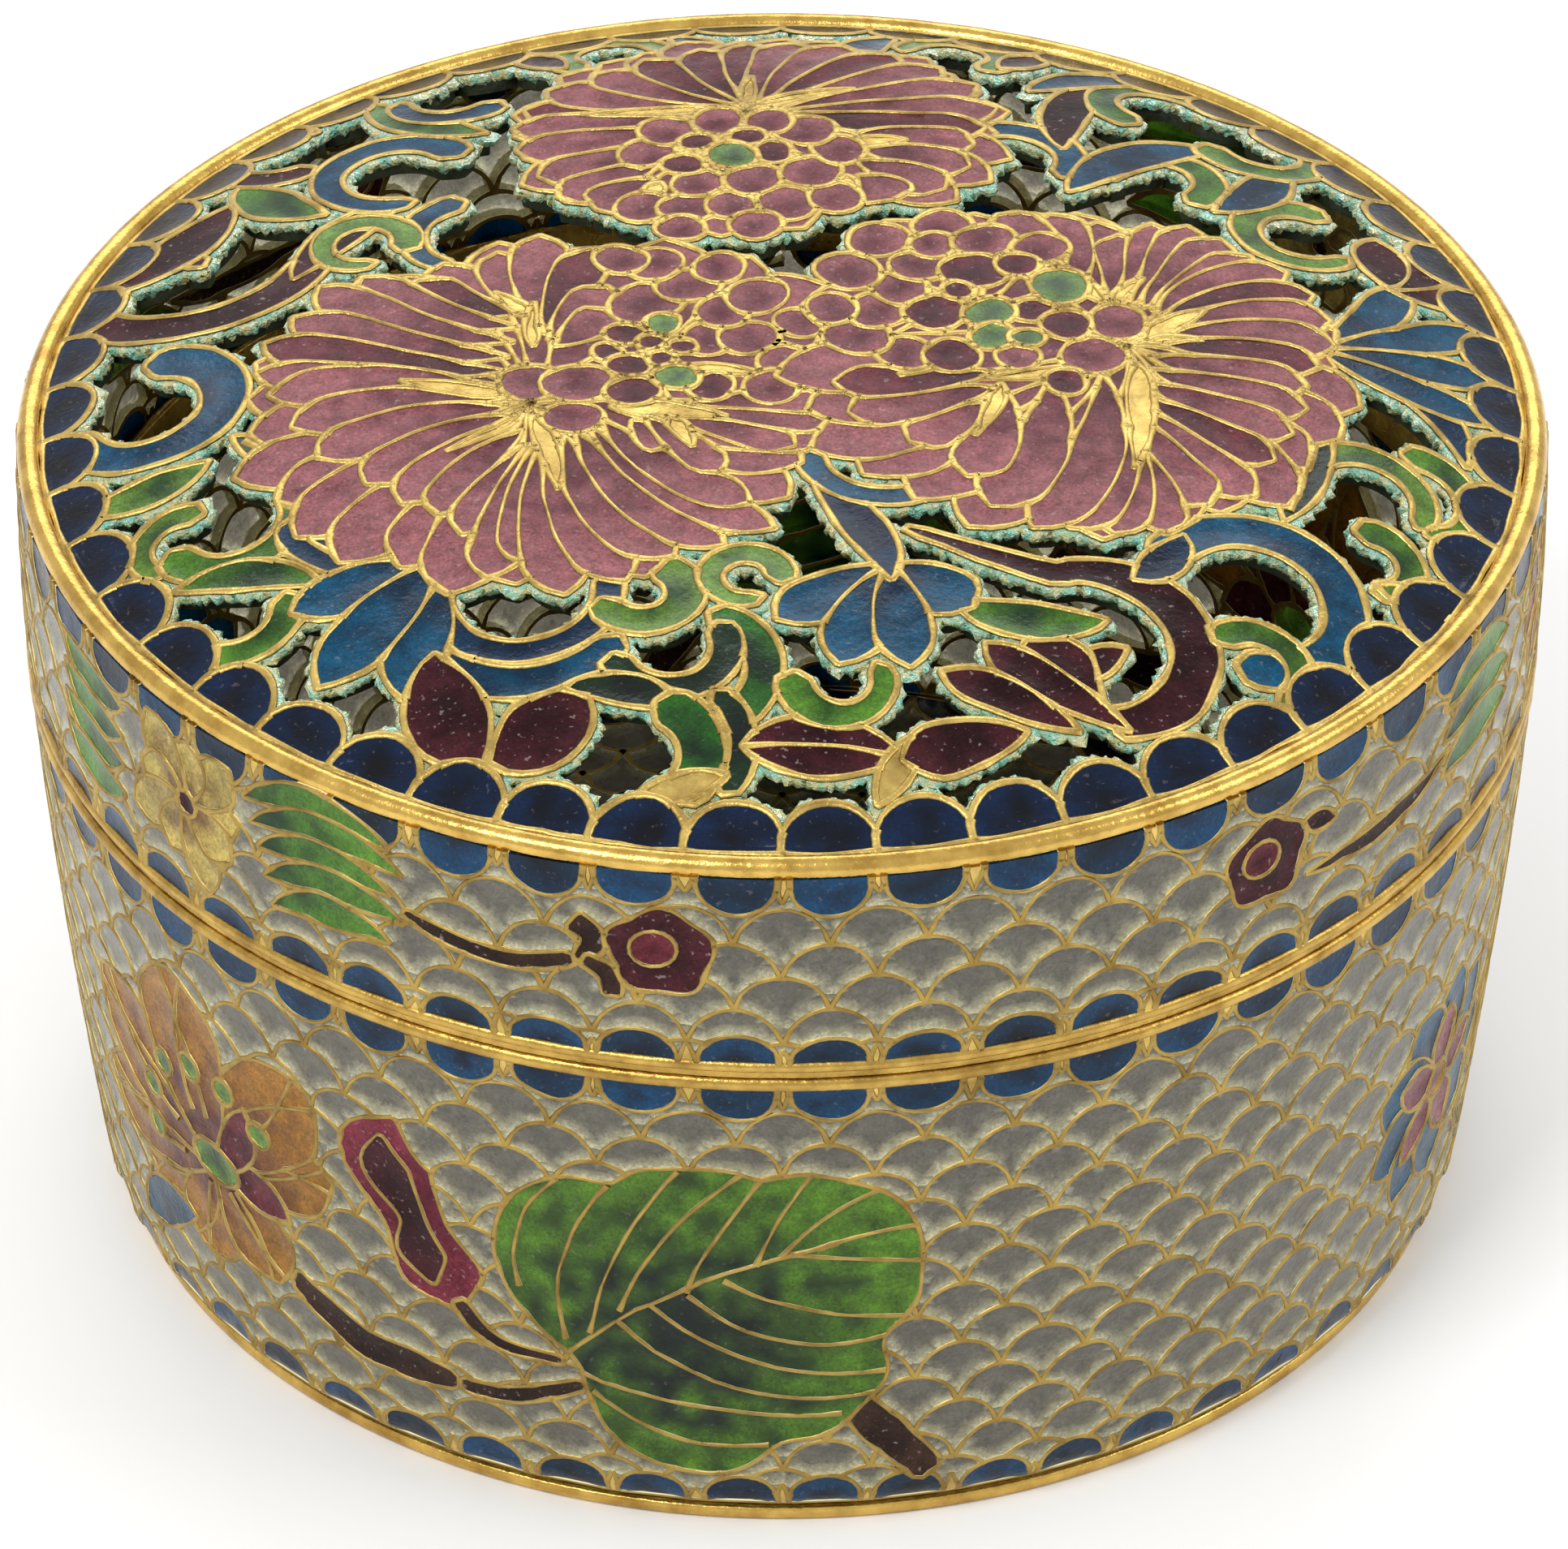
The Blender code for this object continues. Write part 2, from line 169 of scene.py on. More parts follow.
def hook(centre, reach, start, end, width, tip=0.6, shrink=1.0):
    """A curled band: an arc with a tapering width, a closing radius and round ends."""
    steps = max(10, round(abs(end - start) * reach / 26))
    spine, widths = [], []
    for step in range(steps + 1):
        part = step / steps
        near = min(part, 1 - part) * abs(math.radians(end - start)) * reach / (width * 0.5)
        ease = math.sqrt(max(0.02, 1 - (1 - min(1, near)) ** 2))
        spine.append(point(centre, reach * (1 + (shrink - 1) * part), start + (end - start) * part))
        widths.append(width * (1 + (tip - 1) * part) * ease)
    return stroke(spine, widths)


def blade(base, tip, width, bend=0.0, full=0.5):
    """A leaf or petal from its base to its tip, widest at the share of its length called full."""
    base, tip = Vector(base), Vector(tip)
    along = tip - base
    across = Vector((-along.y, along.x))
    steps = max(8, round(along.length / 0.5))
    spine, widths = [], []
    for step in range(steps + 1):
        part = step / steps
        spine.append(base + along * part + across * bend * 4 * part * (1 - part))
        swell = part / full if part < full else (1 - part) / (1 - full)
        widths.append(max(0.12, width * math.sin(math.pi / 2 * min(1, swell)) ** 0.7))
    return stroke(spine, widths)


def spine_of(base, tip, bend, start=0.0, end=1.0):
    """The middle line of a blade, for a vein."""
    base, tip = Vector(base), Vector(tip)
    along = tip - base
    across = Vector((-along.y, along.x))
    line = []
    for step in range(13):
        part = start + (end - start) * step / 12
        line.append(base + along * part + across * bend * 4 * part * (1 - part))
    return line


def smooth(spots, count):
    """A smooth line through a few spots."""
    line = []
    last = len(spots) - 1
    for step in range(count + 1):
        place = step / count * last
        index = min(int(place), last - 1)
        part = place - index
        a, b, c, d = spots[max(index - 1, 0)], spots[index], spots[index + 1], spots[min(index + 2, last)]
        square = (2 * a - 5 * b + 4 * c - d) * part**2
        cube = (3 * b - a - 3 * c + d) * part**3
        line.append(0.5 * (2 * b + (c - a) * part + square + cube))
    return line


def limb(spine, widths):
    """A band along a line, its width eased between a few even stations, with rounded ends."""
    sizes = []
    for step in range(len(spine)):
        place = step / (len(spine) - 1) * (len(widths) - 1)
        index = min(int(place), len(widths) - 2)
        part = place - index
        part = part * part * (3 - 2 * part)
        sizes.append(widths[index] * (1 - part) + widths[index + 1] * part)
    sizes[0] *= 0.6
    sizes[-1] *= 0.6
    return stroke(spine, sizes)


def lobed(middle, mean, swells, count=110):
    """A closed outline round a middle, with swells and notches given by angle, size and spread."""
    outline = []
    for step in range(count):
        degrees = 360 * step / count
        reach = mean
        for turn, size, spread in swells:
            away = (degrees - turn + 180) % 360 - 180
            reach += size * math.exp(-((away / spread) ** 2) / 2)
        outline.append(point(middle, reach, degrees))
    return outline


def ring_of(centre, reach, count=16, squash=1.0):
    ring = []
    for step in range(count):
        angle = 6.2832 * step / count
        across, up = reach * math.cos(angle), reach * squash * math.sin(angle)
        ring.append(Vector((centre[0] + across, centre[1] + up)))
    return ring


# Colours of the glass, as near and far ends of each cell's shading.
rose = (linear(88, 32, 42), linear(142, 84, 88))
rose_deep = (linear(56, 12, 22), linear(100, 40, 48))
plum = (linear(34, 8, 12), linear(66, 26, 32))
cobalt = (linear(0, 16, 42), linear(0, 48, 80))
azure = (linear(0, 28, 52), linear(2, 76, 108))
navy = (linear(0, 2, 14), linear(0, 32, 68))
sea_blue = (linear(0, 4, 16), linear(2, 54, 88))
leaf_green = (linear(10, 54, 10), linear(92, 146, 36))
moss = (linear(24, 66, 20), linear(116, 158, 52))
emerald = (linear(6, 34, 16), linear(50, 122, 28))
dark_green = (linear(4, 20, 12), linear(18, 52, 26))
amber = (linear(76, 18, 18), linear(156, 106, 26))
straw = (linear(104, 70, 30), linear(186, 164, 84))
bark = (linear(36, 20, 14), linear(58, 38, 28))
# Clear glass: a grey tint away from the wires, and at the far end a painted light cream for the band along
# the upper side of each wire.
smoke_and_painted_wire_light = (linear(136, 132, 118), linear(255, 252, 214))


class Drawing:
    """A flat drawing of cells and wires. A later cell lies over an earlier one."""

    def __init__(self, warp):
        self.points, self.edges, self.faces, self.kinds, self.cells = [], [], [], [], []
        self.warp = warp

    def add(self, outline, closed, kind):
        first = len(self.points)
        for spot in outline:
            self.points.append(self.warp(spot))
        count = len(outline)
        for index in range(count if closed else count - 1):
            self.edges.append((first + index, first + (index + 1) % count))
            self.kinds.append(kind)
        return list(range(first, first + count))

    def cell(self, outline, family, colours, origin=None, span=None):
        area = sum(a.x * b.y - b.x * a.y for a, b in zip(outline, outline[1:] + outline[:1]))
        if area < 0:
            outline = outline[::-1]
        middle = sum(outline, Vector((0, 0))) / len(outline)
        origin = Vector(origin) if origin is not None else middle
        span = span or max((spot - origin).length for spot in outline)
        number = len(self.cells)
        jitter = 1 + 0.22 * noise.noise(Vector((middle.x * 0.9, middle.y * 0.9, 3.1)))
        self.cells.append((family, colours, origin, span, jitter))
        self.faces.append(self.add(outline, True, (number, True)))
        return number

    def line(self, spots, number):
        """A wire that shows only inside one cell."""
        self.add(spots, False, (number, False))


def stepped(loop, gap):
    """A closed line cut into even steps."""
    line = []
    for here, after in zip(loop, loop[1:] + loop[:1]):
        count = max(1, round((after - here).length / gap))
        line += [here + (after - here) * step / count for step in range(count)]
    return line


def mesh_piece(name, verts, faces, surface, nodes=(), sharp=60, tints=None, second=None,
               marks=None):
    mesh = bpy.data.meshes.new(name)
    mesh.from_pydata([vert * 0.001 for vert in verts], [], faces)
    if second:
        mesh.polygons.foreach_set("material_index", marks)
    if tints is not None:
        layer = mesh.color_attributes.new("tint", "FLOAT_COLOR", "CORNER")
        layer.data.foreach_set("color", [value for tint in tints for value in tint])
    mesh.validate()
    mesh.materials.append(surface)
    if second:
        mesh.materials.append(second)
    mesh.shade_smooth()
    mesh.set_sharp_from_angle(angle=math.radians(sharp))
    made = bpy.data.objects.new(name, mesh)
    bpy.context.scene.collection.objects.link(made)
    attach(made, "root")
    if nodes:
        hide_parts(*nodes)
    return made


def sweep(line, widths, profile, place, closed, verts, faces):
    """Adds a ribbon along a line on the plan. The profile holds shares of the width and depths."""
    rows, count = [], len(line)
    for index, here in enumerate(line):
        before = line[index - 1] if index or closed else here
        after = line[(index + 1) % count] if closed or index < count - 1 else here
        first = (here - before).normalized() if (here - before).length > 1e-6 else None
        second = (after - here).normalized() if (after - here).length > 1e-6 else None
        first, second = first or second, second or first
        if first is None:
            return
        along = (first + second).normalized() if (first + second).length > 0.2 else first
        across = Vector((-along.y, along.x)) / max(0.6, abs(along.dot(first)))
        row = []
        for share, offset, depth in profile:
            spot = here + across * (share * widths[index] + offset)
            row.append(len(verts))
            verts.append(place(spot.x, spot.y, depth))
        rows.append(row)
    size = len(profile)
    for index in range(count if closed else count - 1):
        here, after = rows[index], rows[(index + 1) % count]
        for side in range(size):
            other = (side + 1) % size
            faces.append((here[side], after[side], after[other], here[other]))
    if not closed:
        faces.append(tuple(rows[0]))
        faces.append(tuple(reversed(rows[-1])))


def wire_profile(undercut=0.5):
    """Section of a wire. The outer side can be cut under, where it ends at an opening."""
    depth = slab + 0.02
    top = ((-0.5, 0, 0.02), (-0.28, 0, -wire_rise), (0.28, 0, -wire_rise), (0.5, 0, 0.02), (0.5, 0, depth))
    return ((-undercut, 0, depth), *top)


def cut_up(drawing, domain):
    """The drawing cut into triangles, with a grid of spots between its lines."""
    edge_tree = KDTree(len(drawing.edges) * 2)
    for a, b in drawing.edges:
        edge_tree.insert((*drawing.points[a], 0), a)
        edge_tree.insert((*((drawing.points[a] + drawing.points[b]) / 2), 0), a)
    edge_tree.balance()
    (left, low), (right, high), inside = domain
    points = list(drawing.points)
    rows = int((high - low) / (cell_grid * grid_row_share)) + 1
    for row in range(1, rows):
        y = low + row * cell_grid * grid_row_share
        for column in range(int((right - left) / cell_grid) + 2):
            x = left + (column + 0.5 * (row % 2)) * cell_grid
            if inside(x, y) and edge_tree.find((x, y, 0))[2] > clear_of_lines:
                points.append(Vector((x, y)))
    found = delaunay_2d_cdt(points, drawing.edges, [], 0, 1e-5, True)
    return found[0], found[1], found[2], found[4]


def owners_of(drawing, spots, triangles, kept_within):
    """The last cell round the middle of each triangle, found by how often its outline winds round it."""
    flat = np.array([(spot.x, spot.y) for spot in spots])
    middles = flat[np.array(triangles)].mean(axis=1)
    owner = np.full(len(triangles), -1)
    for number, face in enumerate(drawing.faces):
        outline = np.array([(drawing.points[index].x, drawing.points[index].y) for index in face])
        near = np.all((middles > outline.min(axis=0)) & (middles < outline.max(axis=0)), axis=1)
        picked = np.nonzero(near)[0]
        if not len(picked):
            continue
        x, y = middles[picked, 0][:, None], middles[picked, 1][:, None]
        x1, y1 = outline[:, 0], outline[:, 1]
        x2, y2 = np.roll(x1, -1), np.roll(y1, -1)
        side = (x2 - x1) * (y - y1) - (x - x1) * (y2 - y1)
        upward = ((y1 <= y) & (y2 > y) & (side > 0)).sum(axis=1)
        downward = ((y1 > y) & (y2 <= y) & (side < 0)).sum(axis=1)
        owner[picked[upward != downward]] = number
        if kept_within and number == 0:
            ground = owner == 0
    if kept_within:
        owner[~ground] = -1
    return [int(value) for value in owner]


def shown_lines(drawing, lines, line_sources, triangles, owner, wrapped):
    """The lines that show: wires between two cells, and the rims where the panel ends."""
    beside = {}
    for number, triangle in enumerate(triangles):
        for index, here in enumerate(triangle):
            beside[(here, triangle[(index + 1) % 3])] = number
    wires, rim = {}, {}
    for (a, b), sources in zip(lines, line_sources):
        one = owner[beside[(a, b)]] if (a, b) in beside else -1
        two = owner[beside[(b, a)]] if (b, a) in beside else -1
        shown = False
        for number, boundary in [drawing.kinds[source] for source in sources if source < len(drawing.kinds)]:
            if boundary:
                shown = shown or (one == number) != (two == number)
            else:
                shown = shown or one == two == number
        if shown and -1 not in (one, two):
            wires.setdefault(a, []).append(b)
            wires.setdefault(b, []).append(a)
        elif shown and not wrapped:
            start, end = (a, b) if one != -1 else (b, a)
            rim.setdefault(start, []).append(end)
    return wires, rim


def wire_chains(wires):
    """Runs of wire, each from one meeting of wires to the next."""
    chains, used = [], set()
    starts = [spot for spot, ends in wires.items() if len(ends) != 2] + list(wires)
    for start in starts:
        for follow in wires[start]:
            if (start, follow) in used:
                continue
            chain, before, here = [start], start, follow
            used.update(((start, follow), (follow, start)))
            while True:
                chain.append(here)
                if len(wires[here]) != 2 or here == start:
                    break
                after = wires[here][0] if wires[here][0] != before else wires[here][1]
                if (here, after) in used:
                    break
                used.update(((here, after), (after, here)))
                before, here = here, after
            chains.append(chain)
    return chains


def rim_chains(rim):
    """The closed outlines round the openings and round the whole panel."""
    chains = []
    while rim:
        chain, here = [], next(iter(rim))
        while here in rim:
            chain.append(here)
            ends = rim[here]
            after = ends.pop()
            if not ends:
                del rim[here]
            here = after
        if len(chain) > 3:
            chains.append(chain)
    return chains


class WireWork:
    """The wires of one panel, and the spots on its plan that they run through."""

    def __init__(self, place, pool):
        self.place, self.pool = place, pool
        self.verts, self.faces, self.spots = [], [], []

    def lay(self, line, closed, width, profile):
        """Lays one wire. An open one is thicker at its ends, where metal has pooled, and runs on a little."""
        if not closed:
            lengths = [0.0]
            for one, two in zip(line, line[1:]):
                lengths.append(lengths[-1] + (two - one).length)
            line[0] = line[0] + (line[0] - line[1]).normalized() * wire_end_overlap
            line[-1] = line[-1] + (line[-1] - line[-2]).normalized() * wire_end_overlap
        widths = []
        for index, spot in enumerate(line):
            size = width * (1 + ripple(spot, 0.35, 0.8))
            if not closed:
                from_end = min(lengths[index], lengths[-1] - lengths[index])
                size += self.pool * math.exp(-from_end / self.pool / 2.4)
            widths.append(size)
            self.spots.append(spot)
        sweep(line, widths, profile, self.place, closed, self.verts, self.faces)

    def side_marks(self):
        """One for each upright side of a wire, and nought for its top and base. A section has six corners."""
        marks = []
        for face in self.faces:
            along = len(face) == 4 and abs(face[0] - face[3]) == 1
            marks.append(int(along and min(face[0], face[3]) % 6 in (0, 4)))
        return marks


def glaze_bead(outline, place, verts, faces):
    """A ragged bead of glaze that hangs along the cut edge of an opening."""

    def ragged(x, y, depth):
        return place(x, y, depth * (1 + ripple((x, y), 0.5, 2.7) + ripple((x, y), 0.3, 6.1)))

    section = ((0.0, -0.05, 0.08), (-0.7, -0.13, 0.12), (-1.15, -0.15, 0.32), (-0.8, -0.13, 0.58),
               (0.0, -0.02, 0.68))
    line = stepped(outline, 0.15)
    sizes = [max(0.02, 0.12 + 0.4 * abs(ripple(spot, 1, 1.7)) + ripple(spot, 0.24, 4.5)) for spot in line]
    sweep(line, sizes, section, ragged, True, verts, faces)


class Glass:
    """The glass of one panel: a slab between the wires, dished in each cell and shaded from its origin."""

    def __init__(self, drawing, spots, triangles, owner, wire_spots, place, wrap):
        self.drawing, self.spots, self.triangles, self.owner = drawing, spots, triangles, owner
        wire_tree = KDTree(len(wire_spots))
        for index, spot in enumerate(wire_spots):
            wire_tree.insert((*spot, 0), index)
        wire_tree.balance()
        self.upper, self.lower, self.beside_wire = [], [], []
        for spot in spots:
            wire_spot, _, away = wire_tree.find((*spot, 0))
            self.beside_wire.append((away, spot.y - wire_spot.y))
            sunk = 0.02 + dish * (1 - math.exp(-((away / 0.5) ** 2))) + ripple(spot, 0.03, 1.1)
            self.upper.append(place(spot.x, spot.y, sunk))
            self.lower.append(place(spot.x, spot.y, slab - sunk * 0.6))
        self.same = {} if wrap is None else self.seam(wrap)

    def seam(self, wrap):
        """Pairs the spots on the plan's right edge with those on its left, where a wall closes on itself."""
        left = {round(spot.y, 2): index for index, spot in enumerate(self.spots) if abs(spot.x + wrap) < 1e-3}
        pairs = {}
        for index, spot in enumerate(self.spots):
            if abs(spot.x - wrap) < 1e-3 and round(spot.y, 2) in left:
                pairs[index] = left[round(spot.y, 2)]
        return pairs

    def shade(self, cell, spot, middle):
        """The tint at one corner. Clear glass turns cream along the upper side of each wire: painted light,
        for the lit side of the wire that would show through the glass.
        """
        family, (near, far), origin, span, jitter = cell
        if family == "clear":
            away, over = self.beside_wire[spot]
            lit = over > 0 or (away < 0.12 and middle > self.spots[spot].y + 0.03)
            part = min(1, max(0, 1.25 - away / 0.5)) if lit else 0
        else:
            part = min(1, (self.spots[spot] - origin).length / span)
            part = min(1, max(0, part + ripple(self.spots[spot], 0.5, 0.8)))
            part = part * part * (3 - 2 * part)
        return (*[(a + (b - a) * part) * jitter for a, b in zip(near, far)], 1)

    def families(self):
        """The triangles of each family of colour."""
        families = {}
        for number, cell in enumerate(self.owner):
            if cell >= 0:
                families.setdefault(self.drawing.cells[cell][0], []).append(number)
        return families

    def slab_of(self, numbers):
        """The closed slab over some triangles: its corners, faces and tints."""
        index_of, verts, faces, tints, sides = {}, [], [], [], {}

        def vert(spot, deep):
            spot = self.same.get(spot, spot)
            if (spot, deep) not in index_of:
                index_of[(spot, deep)] = len(verts)
                verts.append(self.lower[spot] if deep else self.upper[spot])
            return index_of[(spot, deep)]

        for number in numbers:
            triangle = self.triangles[number]
            cell = self.drawing.cells[self.owner[number]]
            middle = sum(self.spots[spot].y for spot in triangle) / 3
            shades = [self.shade(cell, spot, middle) for spot in triangle]
            faces.append([vert(spot, False) for spot in triangle])
            faces.append([vert(spot, True) for spot in reversed(triangle)])
            tints += shades + shades[::-1]
            for index, here in enumerate(triangle):
                after = triangle[(index + 1) % 3]
                key = (self.same.get(here, here), self.same.get(after, after))
                sides[key] = (here, after, shades[index], shades[(index + 1) % 3])
        for (here, after), (a, b, shade, other) in sides.items():
            if (after, here) not in sides:
                faces.append([vert(b, False), vert(a, False), vert(a, True), vert(b, True)])
                tints += [other, shade, shade, other]
        return verts, faces, tints


def build(name, drawing, place, domain, nodes, wire, side, pool, wrap=None):
    """Turns a drawing into wires, glaze round its openings and a slab of glass for each family of colour."""
    spots, lines, triangles, line_sources = cut_up(drawing, domain)
    owner = owners_of(drawing, spots, triangles, wrap is not None)
    wires, rim = shown_lines(drawing, lines, line_sources, triangles, owner, wrap is not None)
    work = WireWork(place, pool)
    for chain in wire_chains(wires):
        closed = chain[0] == chain[-1] and len(chain) > 3
        run = chain[:-1] if closed else chain
        work.lay([spots[index] for index in run], closed, wire_width, wire_profile())
    glaze_verts, glaze_faces = [], []
    for chain in rim_chains(rim):
        outline = [spots[index] for index in chain]
        if max(math.hypot(*spot) for spot in outline) <= panel_radius - 0.2:
            work.lay(list(outline), True, rim_width, wire_profile(0.05))
            glaze_bead(outline, place, glaze_verts, glaze_faces)
    # The wires' upright sides take the side material: painted light on the walls and floor, painted shade on
    # the lid.
    mesh_piece(name + "_wires", work.verts, work.faces, wire, nodes, 60, None, side,
               work.side_marks())
    if glaze_faces:
        mesh_piece(name + "_glaze", glaze_verts, glaze_faces, glaze, (), 60)
    glass = Glass(drawing, spots, triangles, owner, work.spots, place, wrap)
    for family, numbers in glass.families().items():
        verts, faces, tints = glass.slab_of(numbers)
        mesh_piece(name + "_" + family, verts, faces, surfaces[family], (), 40, tints)


# Materials.


def nodes_of(name):
    made = bpy.data.materials.new(name)
    made.use_nodes = True
    tree = made.node_tree
    return made, tree, tree.nodes["Principled BSDF"]


def add_noise(tree, scale, detail=4.0, roughness=0.6):
    where = tree.nodes.get("where") or tree.nodes.new("ShaderNodeTexCoord")
    where.name = "where"
    made = tree.nodes.new("ShaderNodeTexNoise")
    made.inputs["Scale"].default_value = scale
    made.inputs["Detail"].default_value = detail
    made.inputs["Roughness"].default_value = roughness
    tree.links.new(where.outputs["Object"], made.inputs["Vector"])
    return made.outputs["Fac"]


def ramp(tree, source, low, high, low_value, high_value):
    made = tree.nodes.new("ShaderNodeMapRange")
    made.inputs["From Min"].default_value = low
    made.inputs["From Max"].default_value = high
    made.inputs["To Min"].default_value = low_value
    made.inputs["To Max"].default_value = high_value
    tree.links.new(source, made.inputs["Value"])
    return made.outputs["Result"]


def mixed(tree, share, one, two, kind="MIX"):
    made = tree.nodes.new("ShaderNodeMix")
    made.data_type = "RGBA"
    made.blend_type = kind
    for socket, value in (("Factor", share), ("A", one), ("B", two)):
        target = [i for i in made.inputs if i.name == socket and i.enabled][0]
        if isinstance(value, bpy.types.NodeSocket):
            tree.links.new(value, target)
        elif socket == "Factor":
            target.default_value = value
        else:
            target.default_value = (*value, 1)
    return [o for o in made.outputs if o.enabled][0]


def bumped(tree, shader, height, strength, distance):
    made = tree.nodes.new("ShaderNodeBump")
    made.inputs["Strength"].default_value = strength
    made.inputs["Distance"].default_value = distance
    tree.links.new(height, made.inputs["Height"])
    tree.links.new(made.outputs["Normal"], shader.inputs["Normal"])


def gilt(name, bright, dull, rough_low, rough_high, bump, metallic=1.0):
    """Worn gilt, brighter in some patches than others. With metallic at nought it makes the flat colours
    painted on the upright sides of wires: painted light in the walls, painted shade in the lid.
    """
    made, tree, shader = nodes_of(name)
    shader.inputs["Metallic"].default_value = metallic
    patches = ramp(tree, add_noise(tree, 520, 5), 0.38, 0.68, 0, 1)
    tree.links.new(mixed(tree, patches, bright, dull), shader.inputs["Base Color"])
    tree.links.new(ramp(tree, add_noise(tree, 900, 4), 0.3, 0.7, rough_low, rough_high),
                   shader.inputs["Roughness"])
    bumped(tree, shader, add_noise(tree, 2600, 3), bump, 0.00008)
    return made


def enamel(name, transmission, roughness, gloss, speck):
    """Glass tinted cell by cell, clouded and grainy, with small pale specks."""
    made, tree, shader = nodes_of(name)
    tint = tree.nodes.new("ShaderNodeAttribute")
    tint.attribute_name = "tint"
    cloud = ramp(tree, add_noise(tree, 1100, 8, 0.8), 0.32, 0.68, 0.55, 1.45)
    shade = tree.nodes.new("ShaderNodeVectorMath")
    shade.operation = "SCALE"
    tree.links.new(tint.outputs["Color"], shade.inputs[0])
    grain = tree.nodes.new("ShaderNodeMath")
    grain.operation = "MULTIPLY"
    tree.links.new(cloud, grain.inputs[0])
    tree.links.new(ramp(tree, add_noise(tree, 6500, 2), 0.3, 0.7, 0.7, 1.35), grain.inputs[1])
    tree.links.new(grain.outputs["Value"], shade.inputs["Scale"])
    specks = ramp(tree, add_noise(tree, 3400, 2, 0.5), 0.65, 0.72, 0, speck)
    colour = mixed(tree, specks, shade.outputs["Vector"], linear(178, 160, 156))
    shader.inputs["Specular IOR Level"].default_value = gloss
    tree.links.new(colour, shader.inputs["Base Color"])
    dullness = ramp(tree, add_noise(tree, 1300, 4), 0.3, 0.7, roughness * 0.6, roughness * 1.5)
    tree.links.new(dullness, shader.inputs["Roughness"])
    shader.inputs["Transmission Weight"].default_value = transmission
    shader.inputs["IOR"].default_value = 1.5
    bumped(tree, shader, add_noise(tree, 3200, 3), 0.5, 0.00006)
    return made


def glaze_with_painted_glints():
    """The glaze along cut edges: mint and straw, with green drops and near white drops. The near white drops
    are painted glints, and the mint and straw are kept pale as painted light against the shade under the
    wires.
    """
    made, tree, shader = nodes_of("glass_glaze_painted_glints")
    straw_share = ramp(tree, add_noise(tree, 1500, 4), 0.4, 0.6, 0, 1)
    drops = mixed(tree, straw_share, linear(146, 222, 196), linear(232, 222, 152))
    drops = mixed(tree, ramp(tree, add_noise(tree, 2600, 3), 0.58, 0.66, 0, 1), drops, linear(78, 120, 60))
    # Near white drops: painted glints.
    drops = mixed(tree, ramp(tree, add_noise(tree, 4200, 2), 0.6, 0.66, 0, 1), drops, linear(240, 250, 235))
    tree.links.new(drops, shader.inputs["Base Color"])
    shader.inputs["Transmission Weight"].default_value = 0.35
    shader.inputs["Roughness"].default_value = 0.1
    bumped(tree, shader, add_noise(tree, 4200, 2), 1.0, 0.0003)
    return made


gold = gilt("gilt_wire", linear(222, 192, 110), linear(160, 132, 70), 0.28, 0.48, 0.8)
ring_gold = gilt("gilt_ring", linear(224, 186, 98), linear(174, 136, 64), 0.18, 0.3, 0.5)
rim_gold = gilt("gilt_rim", linear(206, 170, 88), linear(152, 118, 56), 0.22, 0.38, 0.6)
# Painted shade: a darker, duller copy of the wire gilt for the walls and the floor, whose wires take less
# light than the lid's.
painted_shade_wall_gold = gilt("gilt_wall_wire_painted_shade", linear(182, 154, 84), linear(132, 106, 54), 0.35, 0.55, 0.6)
# Painted light: pale cream on the upright sides of the wall and floor wires, standing in for the bright wire
# sides seen through the clear glass.
painted_light_wire_side = gilt("painted_light_wire_side", linear(250, 246, 206), linear(240, 226, 160), 0.4, 0.6, 0.5, 0)
# Painted shade: near black green on the upright sides of the lid's wires, standing in for the shade in the
# cut edges of the openings under the glaze.
painted_shade_cut_side = gilt("painted_shade_cut_side", linear(52, 58, 38), linear(26, 30, 20), 0.3, 0.6, 1.0, 0)
surfaces = {
    "clear": enamel("glass_clear", 0.7, 0.14, 0.4, 0.5),
    "navy": enamel("glass_navy", 0.3, 0.16, 0.12, 0.15),
    "blue": enamel("glass_blue", 0.25, 0.18, 0.1, 0.2),
    "green": enamel("glass_green", 0.4, 0.16, 0.12, 0.15),
    "rose": enamel("glass_rose", 0.15, 0.24, 0.08, 0.35),
    "plum": enamel("glass_plum", 0.1, 0.26, 0.08, 0.4),
    "amber": enamel("glass_amber", 0.2, 0.18, 0.12, 0.15),
    "gold": gold,
}
glaze = glaze_with_painted_glints()


# The lid's openwork.


def plan_warp(spot):
    wave = noise.noise_vector(Vector((spot.x * 0.5, spot.y * 0.5, 7.0)))
    return (spot + Vector((wave.x, wave.y)) * 0.1) * (panel_radius / plan_radius)


def flower(drawing, centre, reach, hub, heart, first, last):
    """The lower petals of a flower: a fan from its hub over a ruffled ring round its heart."""
    petals, spread = 22, 1.45
    cluster, cluster_reach = 12, 0.62
    for step in range(cluster):
        outer = point(heart, reach * cluster_reach * (1 + 0.06 * math.sin(2.1 * step)), 360 * step / cluster)
        drawing.cell(blade(heart, outer, reach * 0.36, 0, 0.7), "rose", rose, heart, reach * 0.7)
    for step in range(petals):
        degrees = first + (last - first) * step / (petals - 1)
        jag = 1 + 0.045 * math.sin(2.4 * step + centre[0])
        tip = point(centre, reach * jag, degrees)
        width = spread * 2 * math.pi * reach * abs(last - first) / 360 / petals
        drawing.cell(blade(hub, tip, width, 0.03 * math.sin(1.7 * step), 0.82), "rose", rose, hub, reach)


